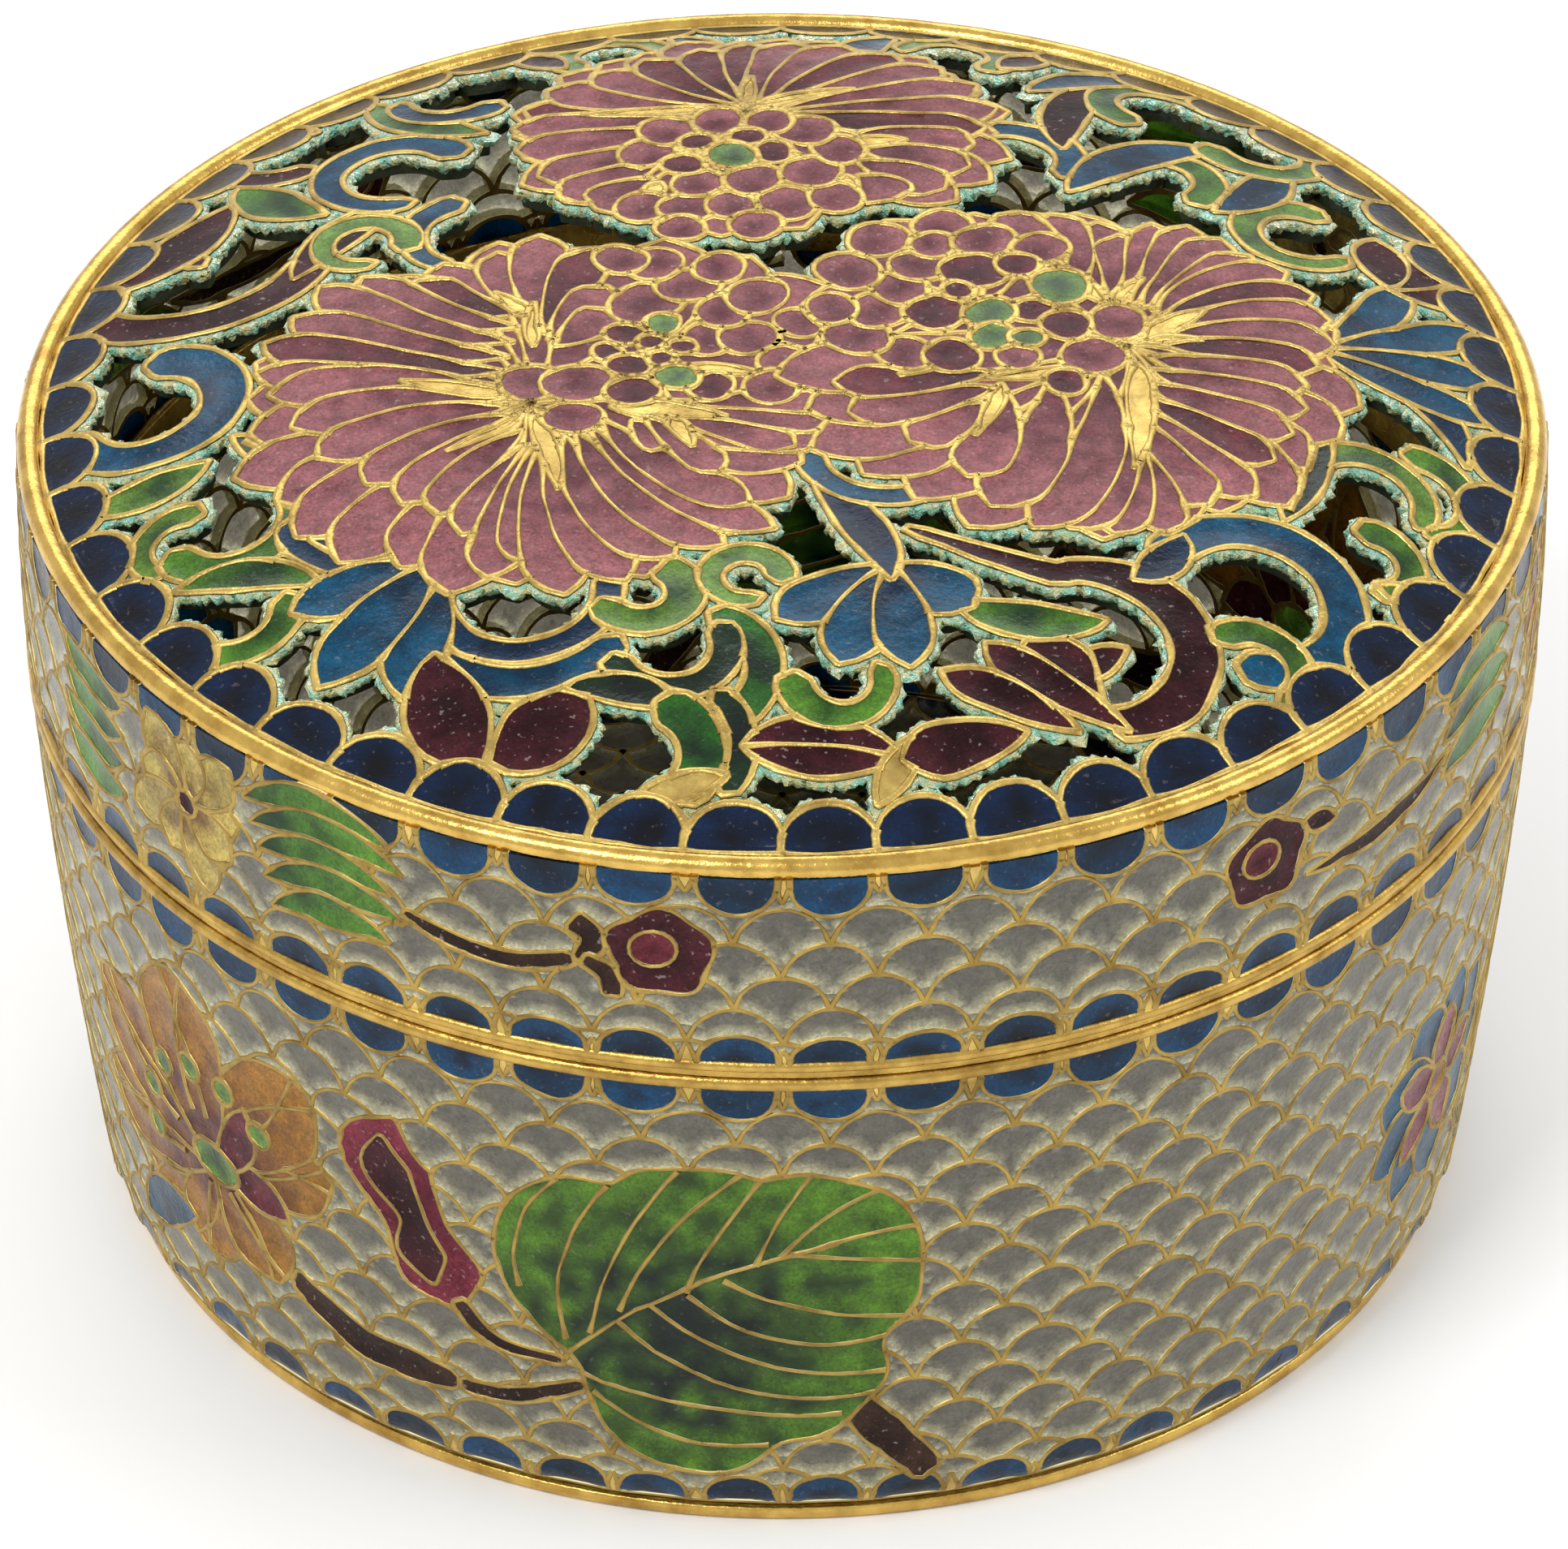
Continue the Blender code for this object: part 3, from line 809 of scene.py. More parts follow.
def petals(drawing, fans, flares, light, deep, green):
    """Petals in fans, from a run of bases to their tips, with pooled gilt and round cells at the heart."""
    for (start, end), tips, width, (bend, last_bend) in fans:
        start, end = Vector(start), Vector(end)
        for step, tip in enumerate(tips):
            share = step / (len(tips) - 1)
            base = start + (end - start) * share
            shade = rose_deep if math.sin(2.1 * tip[0] + tip[1]) > 0.75 else rose
            size = width * (1.25 + 0.12 * math.sin(5 * tip[0]))
            drawing.cell(blade(base, tip, size, bend + (last_bend - bend) * share, 0.8), "rose", shade, base)
    for base, tip, width in flares:
        drawing.cell(blade(base, tip, width, 0.03, 0.3), "gold", rose)
    for cells, family, shade in ((light, "rose", rose), (deep, "rose", rose_deep), (green, "green", moss)):
        for x, y, reach in cells:
            swells = [(100 * k + 40 * x, reach * 0.2 * math.sin(x + 2 * k), 30) for k in range(3)]
            drawing.cell(lobed((x, y), reach * 1.14, swells, 20), family, shade)


def left_flower(drawing):
    flower(drawing, (-11.2, -5.2), 13.4, (-11.3, -4.9), (-5.4, 0.4), 98, 352)
    fans = (
        (((-11.4, 2.0), (-10.4, -0.2)), ((-13.2, 7.8), (-11.2, 9.2), (-8.9, 8.0), (-8.1, 4.8), (-7.9, 2.8)),
         2.1, (0.02, -0.04)),
        (((-12.0, 2.6), (-12.9, -3.4)),
         ((-16.9, 5.7), (-19.4, 6.3), (-21.4, 5.8), (-22.5, 3.4), (-23.8, 1.5), (-24.1, -0.9)), 2.2,
         (0.13, 0.04)),
        (((-12.9, -3.9), (-11.8, -7.0)),
         ((-23.4, -2.9), (-22.3, -5.6), (-21.0, -8.2), (-18.7, -10.5), (-17.0, -12.2), (-15.4, -13.2)), 2.2,
         (-0.07, -0.05)),
        (((-11.6, -8.2), (-10.3, -8.0)),
         ((-14.3, -14.6), (-13.1, -17.8), (-11.4, -17.0), (-9.6, -19.2), (-7.0, -18.4)), 2.3, (0.03, -0.05)),
        (((-9.8, -7.6), (-8.2, -6.2)), ((-4.8, -16.8), (-2.6, -16.0), (-0.4, -14.8), (-1.4, -12.8)), 2.2,
         (-0.09, -0.07)),
        (((-6.8, -6.3), (-4.4, -5.0)), ((-4.9, -8.3), (-2.7, -10.4), (0.6, -8.4), (2.3, -6.7), (2.2, -4.9)),
         1.7, (0.0, 0.04)),
    )
    light = (
        (-11.5, -3.0, 1.3), (-9.2, -3.2, 1.4), (-9.4, -6.0, 1.2), (-6.2, 3.3, 1.5), (-3.3, 0.3, 1.2),
        (-1.5, 0.3, 1.2), (-2.7, 2.5, 1.2),
        (-1.1, 3.8, 1.3), (-4.2, 4.8, 1.3), (-5.8, 6.6, 1.2), (-7.4, 7.1, 1.1), (-2.9, 6.2, 1.1),
        (0.2, -1.8, 1.3), (-0.5, -3.7, 1.2), (0.8, 1.6, 1.1),
    )
    deep = (
        (-7.1, 0.8, 0.85), (-5.9, 0.1, 0.6), (-7.9, -0.7, 0.65), (-6.9, -1.8, 0.9), (-5.4, -1.3, 0.6),
        (-4.5, -0.3, 0.6), (-6.7, -3.9, 1.1), (-3.2, -3.6, 1.0),
    )
    flares = (
        ((-12.4, -4.0), (-17.4, -2.6), 1.1), ((-11.3, -5.8), (-10.0, -11.6), 1.1),
        ((-7.8, -5.2), (-2.6, -6.0), 1.4), ((-11.4, 2.4), (-13.2, 4.4), 0.9),
        ((-11.6, -5.6), (-15.2, -8.4), 0.6), ((-4.4, -2.0), (-0.8, -2.6), 0.9),
        ((-11.4, -0.2), (-11.4, 3.4), 0.7), ((-5.2, -6.0), (-4.0, -8.4), 0.9),
    )
    petals(drawing, fans, flares, light, deep, ((-4.7, -2.8, 0.95), (-5.4, 1.6, 0.75)))


def right_flower(drawing):
    flower(drawing, (13.0, -1.8), 13.0, (15.8, 0), (9.0, 3.0), 100, -176)
    fans = (
        (((14.6, 4.6), (13.0, 6.4)), ((14.6, 10.6), (12.4, 11.2), (10.0, 11.0)), 2.3, (-0.04, -0.04)),
        (((15.0, 3.8), (17.0, 3.2)), ((15.6, 9.6), (17.2, 10.8), (18.9, 10.9), (20.4, 10.0), (21.7, 8.7)),
         2.0, (-0.08, -0.02)),
        (((17.2, 2.8), (17.4, 0.2)), ((23.4, 7.6), (24.6, 5.8), (25.3, 3.8), (25.4, 1.7), (24.6, -0.3)), 2.2,
         (0.08, 0.03)),
        (((16.8, -0.8), (16.4, -6.0)),
         ((24.0, -2.0), (23.9, -3.9), (23.2, -5.9), (22.3, -8.2), (21.3, -10.9), (19.2, -11.9)), 2.2,
         (-0.03, -0.07)),
        (((16.2, -8.2), (15.6, -6.4)), ((17.2, -14.2), (14.9, -14.6), (12.8, -14.3)), 2.2, (0.0, 0.06)),
        (((14.6, -2.4), (10.0, -3.8)), ((11.2, -14.4), (9.3, -12.9), (8.4, -10.6)), 2.5, (0.1, 0.06)),
        (((9.7, -4.8), (9.7, -2.4)), ((5.8, -8.0), (3.0, -5.7), (2.3, -3.2)), 2.2, (0.0, 0.03)),
    )
    light = (
        (15.5, 2.0, 1.3), (14.4, -0.8, 1.4), (10.8, -1.0, 0.9), (5.5, -0.8, 1.2), (3.3, 0.6, 1.4),
        (4.3, 2.7, 1.3), (5.3, 4.6, 1.2), (3.0, 6.0, 1.4),
        (6.3, 6.6, 1.2), (4.3, 8.7, 1.3), (7.4, 10.0, 1.3), (6.9, 8.4, 1.0), (9.4, 8.8, 1.3),
        (12.0, 8.2, 1.2), (2.2, 2.8, 1.1),
    )
    deep = ((7.0, 2.7, 1.3), (8.8, 6.2, 1.4), (10.9, 6.8, 0.9), (11.6, 2.9, 0.9), (13.2, 1.7, 1.1),
            (8.1, 4.5, 0.7), (7.7, -0.9, 1.2), (13.0, -3.0, 0.9))
    flares = (
        ((16.2, -1.4), (15.9, -9.6), 1.3), ((16.6, 0.6), (19.4, 3.4), 1.3), ((15.0, 3.6), (12.4, 7.4), 0.9),
        ((13.6, -2.0), (9.2, -2.8), 0.9),
        ((15.2, 3.6), (16.6, 5.8), 0.8), ((7.4, -1.0), (5.4, -2.6), 0.9), ((16.6, 0.4), (19.2, 0.9), 0.6),
        ((10.0, -3.2), (8.8, -7.4), 0.8),
    )
    petals(drawing, fans, flares, light, deep,
           ((9.6, 2.7, 1.1), (9.7, 0.7, 1.0), (12.9, 5.0, 1.3), (11.3, 0.6, 0.7)))


def far_flower(drawing):
    flower(drawing, (-1.0, 18.6), 11.6, (-1.7, 20.5), (-2.8, 16.2), 215, -35)
    fans = (
        (((-2.8, 21.2), (-1.4, 21.4)),
         ((-12.2, 21.6), (-11.2, 24.0), (-9.0, 25.8), (-6.6, 27.4), (-4.0, 28.6), (-1.6, 29.4)), 2.4,
         (0.06, 0.0)),
        (((-1.2, 21.3), (0.2, 20.4)),
         ((0.6, 29.6), (3.0, 29.2), (5.4, 28.0), (7.6, 26.4), (9.3, 24.2), (10.2, 21.6), (9.6, 19.4)), 2.4,
         (0.0, -0.05)),
        (((-4.4, 20.6), (-6.0, 14.2)),
         ((-12.7, 19.6), (-12.5, 17.2), (-11.4, 14.6), (-10.4, 12.6), (-8.6, 11.4)), 2.3, (0.05, 0.0)),
        (((3.4, 18.4), (3.6, 14.4)), ((9.0, 17.6), (8.8, 15.4), (7.6, 13.2), (5.2, 12.2)), 2.1, (0.0, 0.04)),
    )
    light = (
        (-6.3, 11.6, 1.2), (-4.3, 11.5, 1.2), (-2.3, 11.6, 1.1), (0.2, 11.8, 1.3), (2.4, 12.4, 1.2),
        (-3.8, 13.7, 1.1), (-1.3, 13.9, 1.2), (1.3, 14.6, 1.3),
        (-1.2, 9.9, 1.1), (-4.6, 9.7, 1.0), (2.6, 16.8, 1.2), (1.0, 18.6, 1.3), (-6.2, 16.6, 1.2),
        (-5.3, 18.7, 1.2), (-3.0, 19.6, 1.2), (-0.6, 19.6, 1.1),
    )
    flares = (
        ((-3.0, 21.0), (-9.4, 20.8), 0.9), ((-1.4, 21.2), (3.4, 23.2), 0.9),
        ((-1.6, 21.4), (-1.4, 24.6), 0.8), ((3.2, 17.4), (5.8, 17.9), 1.0),
        ((-5.6, 13.8), (-6.6, 12.2), 1.0), ((3.0, 14.4), (3.2, 12.6), 0.9), ((-5.0, 17.6), (-6.6, 15.2), 0.7),
    )
    deep = ((-4.5, 15.4, 0.9), (-0.4, 16.5, 0.9), (-1.6, 18.0, 0.8), (-3.9, 17.6, 0.8))
    petals(drawing, fans, flares, light, deep, ((-2.3, 16.2, 1.1),))


def stroked_curl():
    """The long curl of the fan leaf: a straight tail that runs into an arc."""
    spine = [Vector((5.6, -14.6)), Vector((7.6, -15.7)), Vector((9.6, -16.6))]
    spine += [point((13.7, -22.1), 4.9 - 0.5 * k / 16, 110 - 11.75 * k) for k in range(17)]
    return limb(smooth(spine, 44), (0.7, 1.7, 2.2, 2.3, 2.2, 1.6))


def fan(art, base, tips, family, colours, bend=0.0, full=0.68):
    for tip, width in tips:
        art.cell(blade(base, tip, width, bend, full), family, colours, base)


def left_scrolls(art):
    draw = art.cell
    draw(hook((-29, -2.2), 3.7, 95, -175, 2.5, 0.7, 0.9), "blue", azure)
    draw(hook((-27.2, 10), 5.7, 212, 345, 2.0, 1.1), "plum", plum)
    draw(blade((-22.6, 6.8), (-17.6, 13.2), 2.3, 0.08), "plum", plum)
    draw(hook((-29, 8.8), 2.2, 200, 20, 1.3, 0.8), "plum", plum)
    draw(blade((-31.5, 9.5), (-26, 15.5), 3.4, -0.1), "plum", plum)
    number = draw(blade((-25, -5.6), (-18.3, -12.2), 2.3), "green", dark_green)
    art.line(spine_of((-25, -5.6), (-18.3, -12.2), 0, 0.1, 0.9), number)
    draw(hook((-27.0, -12.6), 1.9, 60, 250, 1.5), "green", moss)
    draw(hook((-24.8, -12.0), 2.9, 200, 400, 1.9), "green", leaf_green)
    draw(blade((-31.6, -8.6), (-26, -7.2), 2.2, -0.1), "green", moss)
    draw(blade((-27.2, -15.6), (-20.6, -17.0), 1.9, 0.1), "green", leaf_green)
    draw(hook((-24.3, -18.0), 2.3, 20, -130, 1.6, 0.9), "green", leaf_green)


def front_scrolls(art):
    draw = art.cell
    draw(hook((-11.4, -19.6), 4.9, 165, 330, 2.0, 0.9), "blue", azure)
    draw(hook((-11.5, -18.9), 3.8, 155, 375, 1.4, 1.0), "blue", cobalt)
    number = draw(hook((-18.0, -12.2), 3.7, 180, 325, 2.4, 0.8), "blue", cobalt)
    art.line([point((-18.0, -12.2), 3.6, 190 + 13 * k) for k in range(10)], number)
    fan(art, (-15.2, -16.3), (((-21.9, -18.6), 3.0), ((-16.8, -24.7), 3.0), ((-20.5, -23.2), 3.2)), "blue",
        azure)
    draw(blade((-13.2, -28.9), (-15.4, -22.3), 3.7, 0.08, 0.45), "plum", plum)
    draw(blade((-12.9, -28.7), (-9.0, -24.9), 4.0, -0.12, 0.5), "plum", plum)
    draw(hook((-6.2, -19.2), 1.9, 80, -170, 1.9, 0.9), "green", moss)
    draw(hook((-4.6, -24.2), 3.8, 70, -65, 1.7, 1.0), "green", emerald)
    draw(hook((-4.9, -22.9), 2.5, 185, 400, 1.6, 0.9), "green", dark_green)
    draw(blade((-9.6, -25.0), (-4.4, -26.6), 1.8, 0.1), "green", dark_green)
    draw(hook((-5.6, -28.6), 3.9, 50, -40, 1.2, 1.0), "green", dark_green)
    draw(hook((-6.4, -29.0), 2.9, 75, -55, 2.3, 0.9), "green", emerald)
    draw(blade((-6.6, -31.4), (-2.4, -30.2), 1.5), "gold", plum)
    number = draw(blade((-1.8, -28.7), (5.2, -29.2), 3.4, 0.04, 0.45), "plum", plum)
    art.line(spine_of((-1.8, -28.7), (5.2, -29.2), 0.04, 0.02, 0.98), number)
    draw(blade((4.2, -31.6), (5.8, -28.0), 1.5), "gold", plum)
    draw(hook((-1.6, -18.2), 1.6, -20, 300, 1.6), "green", moss)
    draw(hook((2.5, -25.0), 2.0, 165, 395, 1.8), "green", leaf_green)
    curl = stroked_curl()
    draw(curl, "plum", plum)
    draw(blade((13.0, -24.6), (15.2, -22.0), 1.7, 0.1), "plum", plum)
    draw(blade((14.2, -26.0), (11.6, -21.4), 3.4, 0.1, 0.66), "plum", plum)
    draw(blade((15.4, -26.6), (9.0, -22.4), 2.2, 0.04, 0.72), "plum", plum)
    draw(blade((13.0, -27.0), (7.1, -24.2), 2.1, 0, 0.7), "plum", plum)
    draw(blade((10.8, -27.3), (5.2, -29.3), 2.9, 0, 0.7), "plum", plum)
    draw(blade((7.6, -19.8), (14.4, -20.4), 2.3, -0.1), "green", leaf_green)
    fan(art, (4.8, -17.4), (((-0.3, -21.2), 3.0), ((8.5, -20.1), 3.4), ((2.5, -24.0), 3.0),
                            ((5.7, -24.1), 2.6)), "blue", azure)
    draw(blade((1.4, -11.4), (4.9, -18.4), 2.2, 0.08), "blue", cobalt)
    draw(hook((4.6, -9.0), 3.3, 175, 415, 1.4, 0.9), "blue", azure)
    draw(blade((-1.0, -4.4), (2.8, -4.6), 2.4), "rose", rose)


def right_scrolls(art):
    draw = art.cell
    draw(hook((20.9, -17.8), 4.3, 158, -100, 2.2, 0.9), "blue", azure)
    draw(blade((15.6, -17.6), (18.0, -14.2), 2.0, -0.1), "blue", cobalt)
    draw(hook((21.0, -22.0), 2.0, 150, -60, 1.7), "green", leaf_green)
    draw(hook((26.2, -9.6), 2.9, 190, -30, 1.8), "green", moss)
    draw(hook((28.6, -8.6), 2.7, 100, -80, 1.8), "green", leaf_green)
    draw(hook((26.4, -14.0), 1.9, 110, -90, 1.8), "green", leaf_green)
    number = draw(blade((24.8, -4.4), (22.6, -12.4), 2.1), "green", dark_green)
    art.line(spine_of((24.8, -4.4), (22.6, -12.4), 0, 0.1, 0.9), number)
    draw(blade((26.6, -15.4), (30.2, -16.2), 1.5), "green", moss)
    draw(blade((24.6, 1.0), (31.2, -5.6), 2.0, 0.2), "blue", cobalt)
    fan(art, (24.6, 1.2), (((28.9, 8.6), 2.3), ((32.2, 6.4), 2.3), ((33.0, 2.4), 2.4), ((32.8, -1.4), 2.2)),
        "blue", azure, -0.06, 0.7)
    fan(art, (28.2, 8.0), (((32.6, 9.2), 2.6), ((31.4, 13.2), 2.6), ((27.8, 12.8), 2.6)), "plum", plum, 0,
        0.6)


def far_scrolls(art):
    draw = art.cell
    draw(hook((10.7, 16.4), 2.9, 215, -35, 1.5, 1.0), "blue", azure)
    draw(hook((24.2, 11.4), 2.6, 60, 330, 1.7), "green", moss)
    draw(hook((17.8, 15.2), 2.3, -60, 190, 1.8), "green", leaf_green)
    draw(blade((13.4, 13.4), (20.6, 19.2), 2.6, 0.12), "blue", azure)
    draw(blade((20.2, 12.6), (23.6, 18.8), 2.4, -0.1), "blue", azure)
    draw(hook((22.6, 20.4), 2.6, 190, 430, 1.8), "green", moss)
    draw(blade((13.2, 17.6), (15.6, 26.2), 2.4, 0.1), "plum", plum)
    draw(hook((17.8, 23.8), 2.6, 250, 20, 1.7), "green", leaf_green)
    draw(blade((11.8, 24.0), (17.8, 27.8), 2.2, 0.1), "blue", azure)
    draw(hook((-14.2, 9.6), 3.0, 100, 250, 1.6), "blue", azure)
    draw(hook((-18.2, 16.0), 3.2, 20, 290, 2.0), "blue", azure)
    draw(hook((-19.4, 9.4), 2.0, -30, 290, 1.5), "green", moss)
    draw(blade((-21.4, 12.6), (-25.6, 17.6), 2.6, 0.1), "green", leaf_green)
    draw(hook((-23.4, 20.4), 2.8, 300, 60, 1.8), "plum", plum)
    draw(blade((-14.0, 19.4), (-19.6, 25.6), 2.4, 0.12), "green", leaf_green)
    draw(hook((-15.6, 24.4), 2.6, 330, 170, 1.8), "blue", azure)
    for side in (-1, 1):
        draw(hook((side * 8.2, 28.6), 2.4, 90 - side * 150, 90 + side * 90, 1.7), "green", moss)
        draw(blade((side * 3.4, 26.4), (side * 5.4, 31.4), 2.2, side * 0.1), "blue", azure)
        draw(blade((side * 10.4, 27.0), (side * 12.8, 30.2), 2.0), "plum", plum)


def lid_scallops(art):
    """A ring of half rounds along the lid's edge, joined by a narrow strip."""
    pitch = 360 / scallop_count
    rim = plan_radius * (1 - border_share)
    rise = plan_radius * scallop_share
    half = math.pi * rim / scallop_count * 1.04
    for scallop in range(scallop_count):
        middle = math.radians(pitch * scallop)
        outward = Vector((math.cos(middle), math.sin(middle)))
        sideways = Vector((-outward.y, outward.x))
        strip = [point((0, 0), plan_radius, pitch * (scallop - 0.5 + k / 2)) for k in range(3)]
        strip += [point((0, 0), rim, pitch * (scallop + 0.5 - k / 2)) for k in range(3)]
        art.cell(strip, "navy", navy)
        outline = [outward * (rim + 0.3) + sideways * half * (k / 3 - 1) for k in range(7)]
        for step in range(15):
            angle = math.pi * step / 14
            outline.append(outward * (rim - rise * math.sin(angle)) + sideways * half * math.cos(angle))
        art.cell(outline, "navy", navy, outward * rim)


def lid_drawing():
    """The lid's cells, in the order that they overlap."""
    art = Drawing(plan_warp)
    left_scrolls(art)
    front_scrolls(art)
    right_scrolls(art)
    far_scrolls(art)
    far_flower(art)
    left_flower(art)
    right_flower(art)
    lid_scallops(art)
    return art


# The walls: scale ground, scalloped borders and sprays of flowers.


def side_warp(spot):
    angle = spot.x / unrolled_radius
    wave = noise.noise_vector(Vector((math.cos(angle) * 14, math.sin(angle) * 14, spot.y * 0.4)))
    return spot + Vector((wave.x, wave.y)) * (0.0 if abs(abs(spot.x) - plan_turn / 2) < 1e-6 else 0.14)


def scallops(art, level, rise, down):
    """A row of half rounds standing on, or hanging from, a level line, with gold between them."""
    pitch = plan_turn / scale_count
    away = -1 if down else 1
    for step in range(scale_count):
        corner = -plan_turn / 2 + pitch * step
        if step:
            spots = ((-0.5, -0.4), (0.5, -0.4), (0.42, 0.1), (0.04, 0.95), (-0.04, 0.95), (-0.42, 0.1))
            stretch = 1 + 0.25 * math.sin(2.9 * step + level)
            outline = [Vector((corner + across, level + away * up * stretch)) for across, up in spots]
            art.cell(outline, "gold", rose)
    for step in range(scale_count):
        centre = -plan_turn / 2 + pitch * (step + 0.5) + 0.12 * math.sin(2.3 * step)
        size = 1 + 0.08 * math.sin(1.7 * step + level)
        foot = level - away * 0.4
        outline = [Vector((centre - pitch * 0.43, foot)), Vector((centre + pitch * 0.43, foot))]
        for k in range(15):
            angle = math.pi * k / 14
            height = rise * size * math.sin(angle) ** 0.85
            outline.append(Vector((centre + pitch * 0.43 * math.cos(angle), level + away * height)))
        depth = 0.35 + 1.1 * abs(math.sin(4.7 * step + level))
        shades = [[value * depth for value in colour] for colour in sea_blue]
        art.cell(outline, "navy", shades, (centre, level), rise)


def scale_ground(art, low, high, ground, first_crown):
    """Rows of overlapping scales, from the top row down."""
    pitch = plan_turn / scale_count
    row = 0
    crown = first_crown
    while crown > low + 0.2:
        for step in range(scale_count):
            centre = -plan_turn / 2 + pitch * (step + 0.5 * (row % 2))
            arc = []
            for k in range(13):
                share = (k - 6) / 6
                drop = row_pitch * (1 - math.sqrt(1 - (0.96 * share) ** 2)) / 0.72
                spot = Vector((centre + pitch / 2 * share, crown - drop))
                if low < spot.y < high and abs(spot.x) <= plan_turn / 2:
                    arc.append(spot)
            if len(arc) > 2:
                art.line(arc, ground)
        row += 1
        crown -= row_pitch


def on_wall(degrees, depth):
    """A spot on the wall from its angle off the front and its depth below the edge ring."""
    return Vector((degrees * per_degree, edge_level - depth))


def blossom(art, centre, reach, petals, family, colours, heart_family, heart_colours, turn=0.0):
    for step in range(petals):
        tip = point(centre, reach, 360 * step / petals + turn)
        art.cell(blade(centre, tip, reach * 5.6 / petals, 0, 0.62), family, colours, centre)
    art.cell(ring_of(centre, reach * 0.24, 12), heart_family, heart_colours)


def ribbed_leaf(art, base, tip, width, bend, family, colours, ribs, full=0.5):
    number = art.cell(blade(base, tip, width, bend, full), family, colours, base)
    middle = spine_of(base, tip, bend, 0.0, 0.92)
    art.line(middle, number)
    along = (Vector(tip) - Vector(base)).normalized()
    for step in range(ribs):
        root = middle[1 + round(step * 10 / ribs)]
        for side in (-1, 1):
            across = Vector((-along.y, along.x)) * side
            line = []
            for k in range(11):
                outward = k / 10 * width * (0.62 - 0.003 * k)
                line.append(root + along * (k * 0.05 * width) + across * outward)
            art.line(line, number)
    return number


def wall_drawing(low, high, crown):
    """A wall laid out flat: one clear ground with its scales."""
    art = Drawing(side_warp)
    half = plan_turn / 2
    rows = [low + (high - low) * k / 24 for k in range(25)]
    outline = [Vector((-half, y)) for y in reversed(rows)]
    outline += [Vector((-half + plan_turn * k / 60, low)) for k in range(1, 60)]
    outline += [Vector((half, y)) for y in rows]
    outline += [Vector((half - plan_turn * k / 60, high)) for k in range(1, 60)]
    ground = art.cell(outline, "clear", smoke_and_painted_wire_light, (0, low), 1e4)
    scale_ground(art, low, high, ground, crown)
    return art


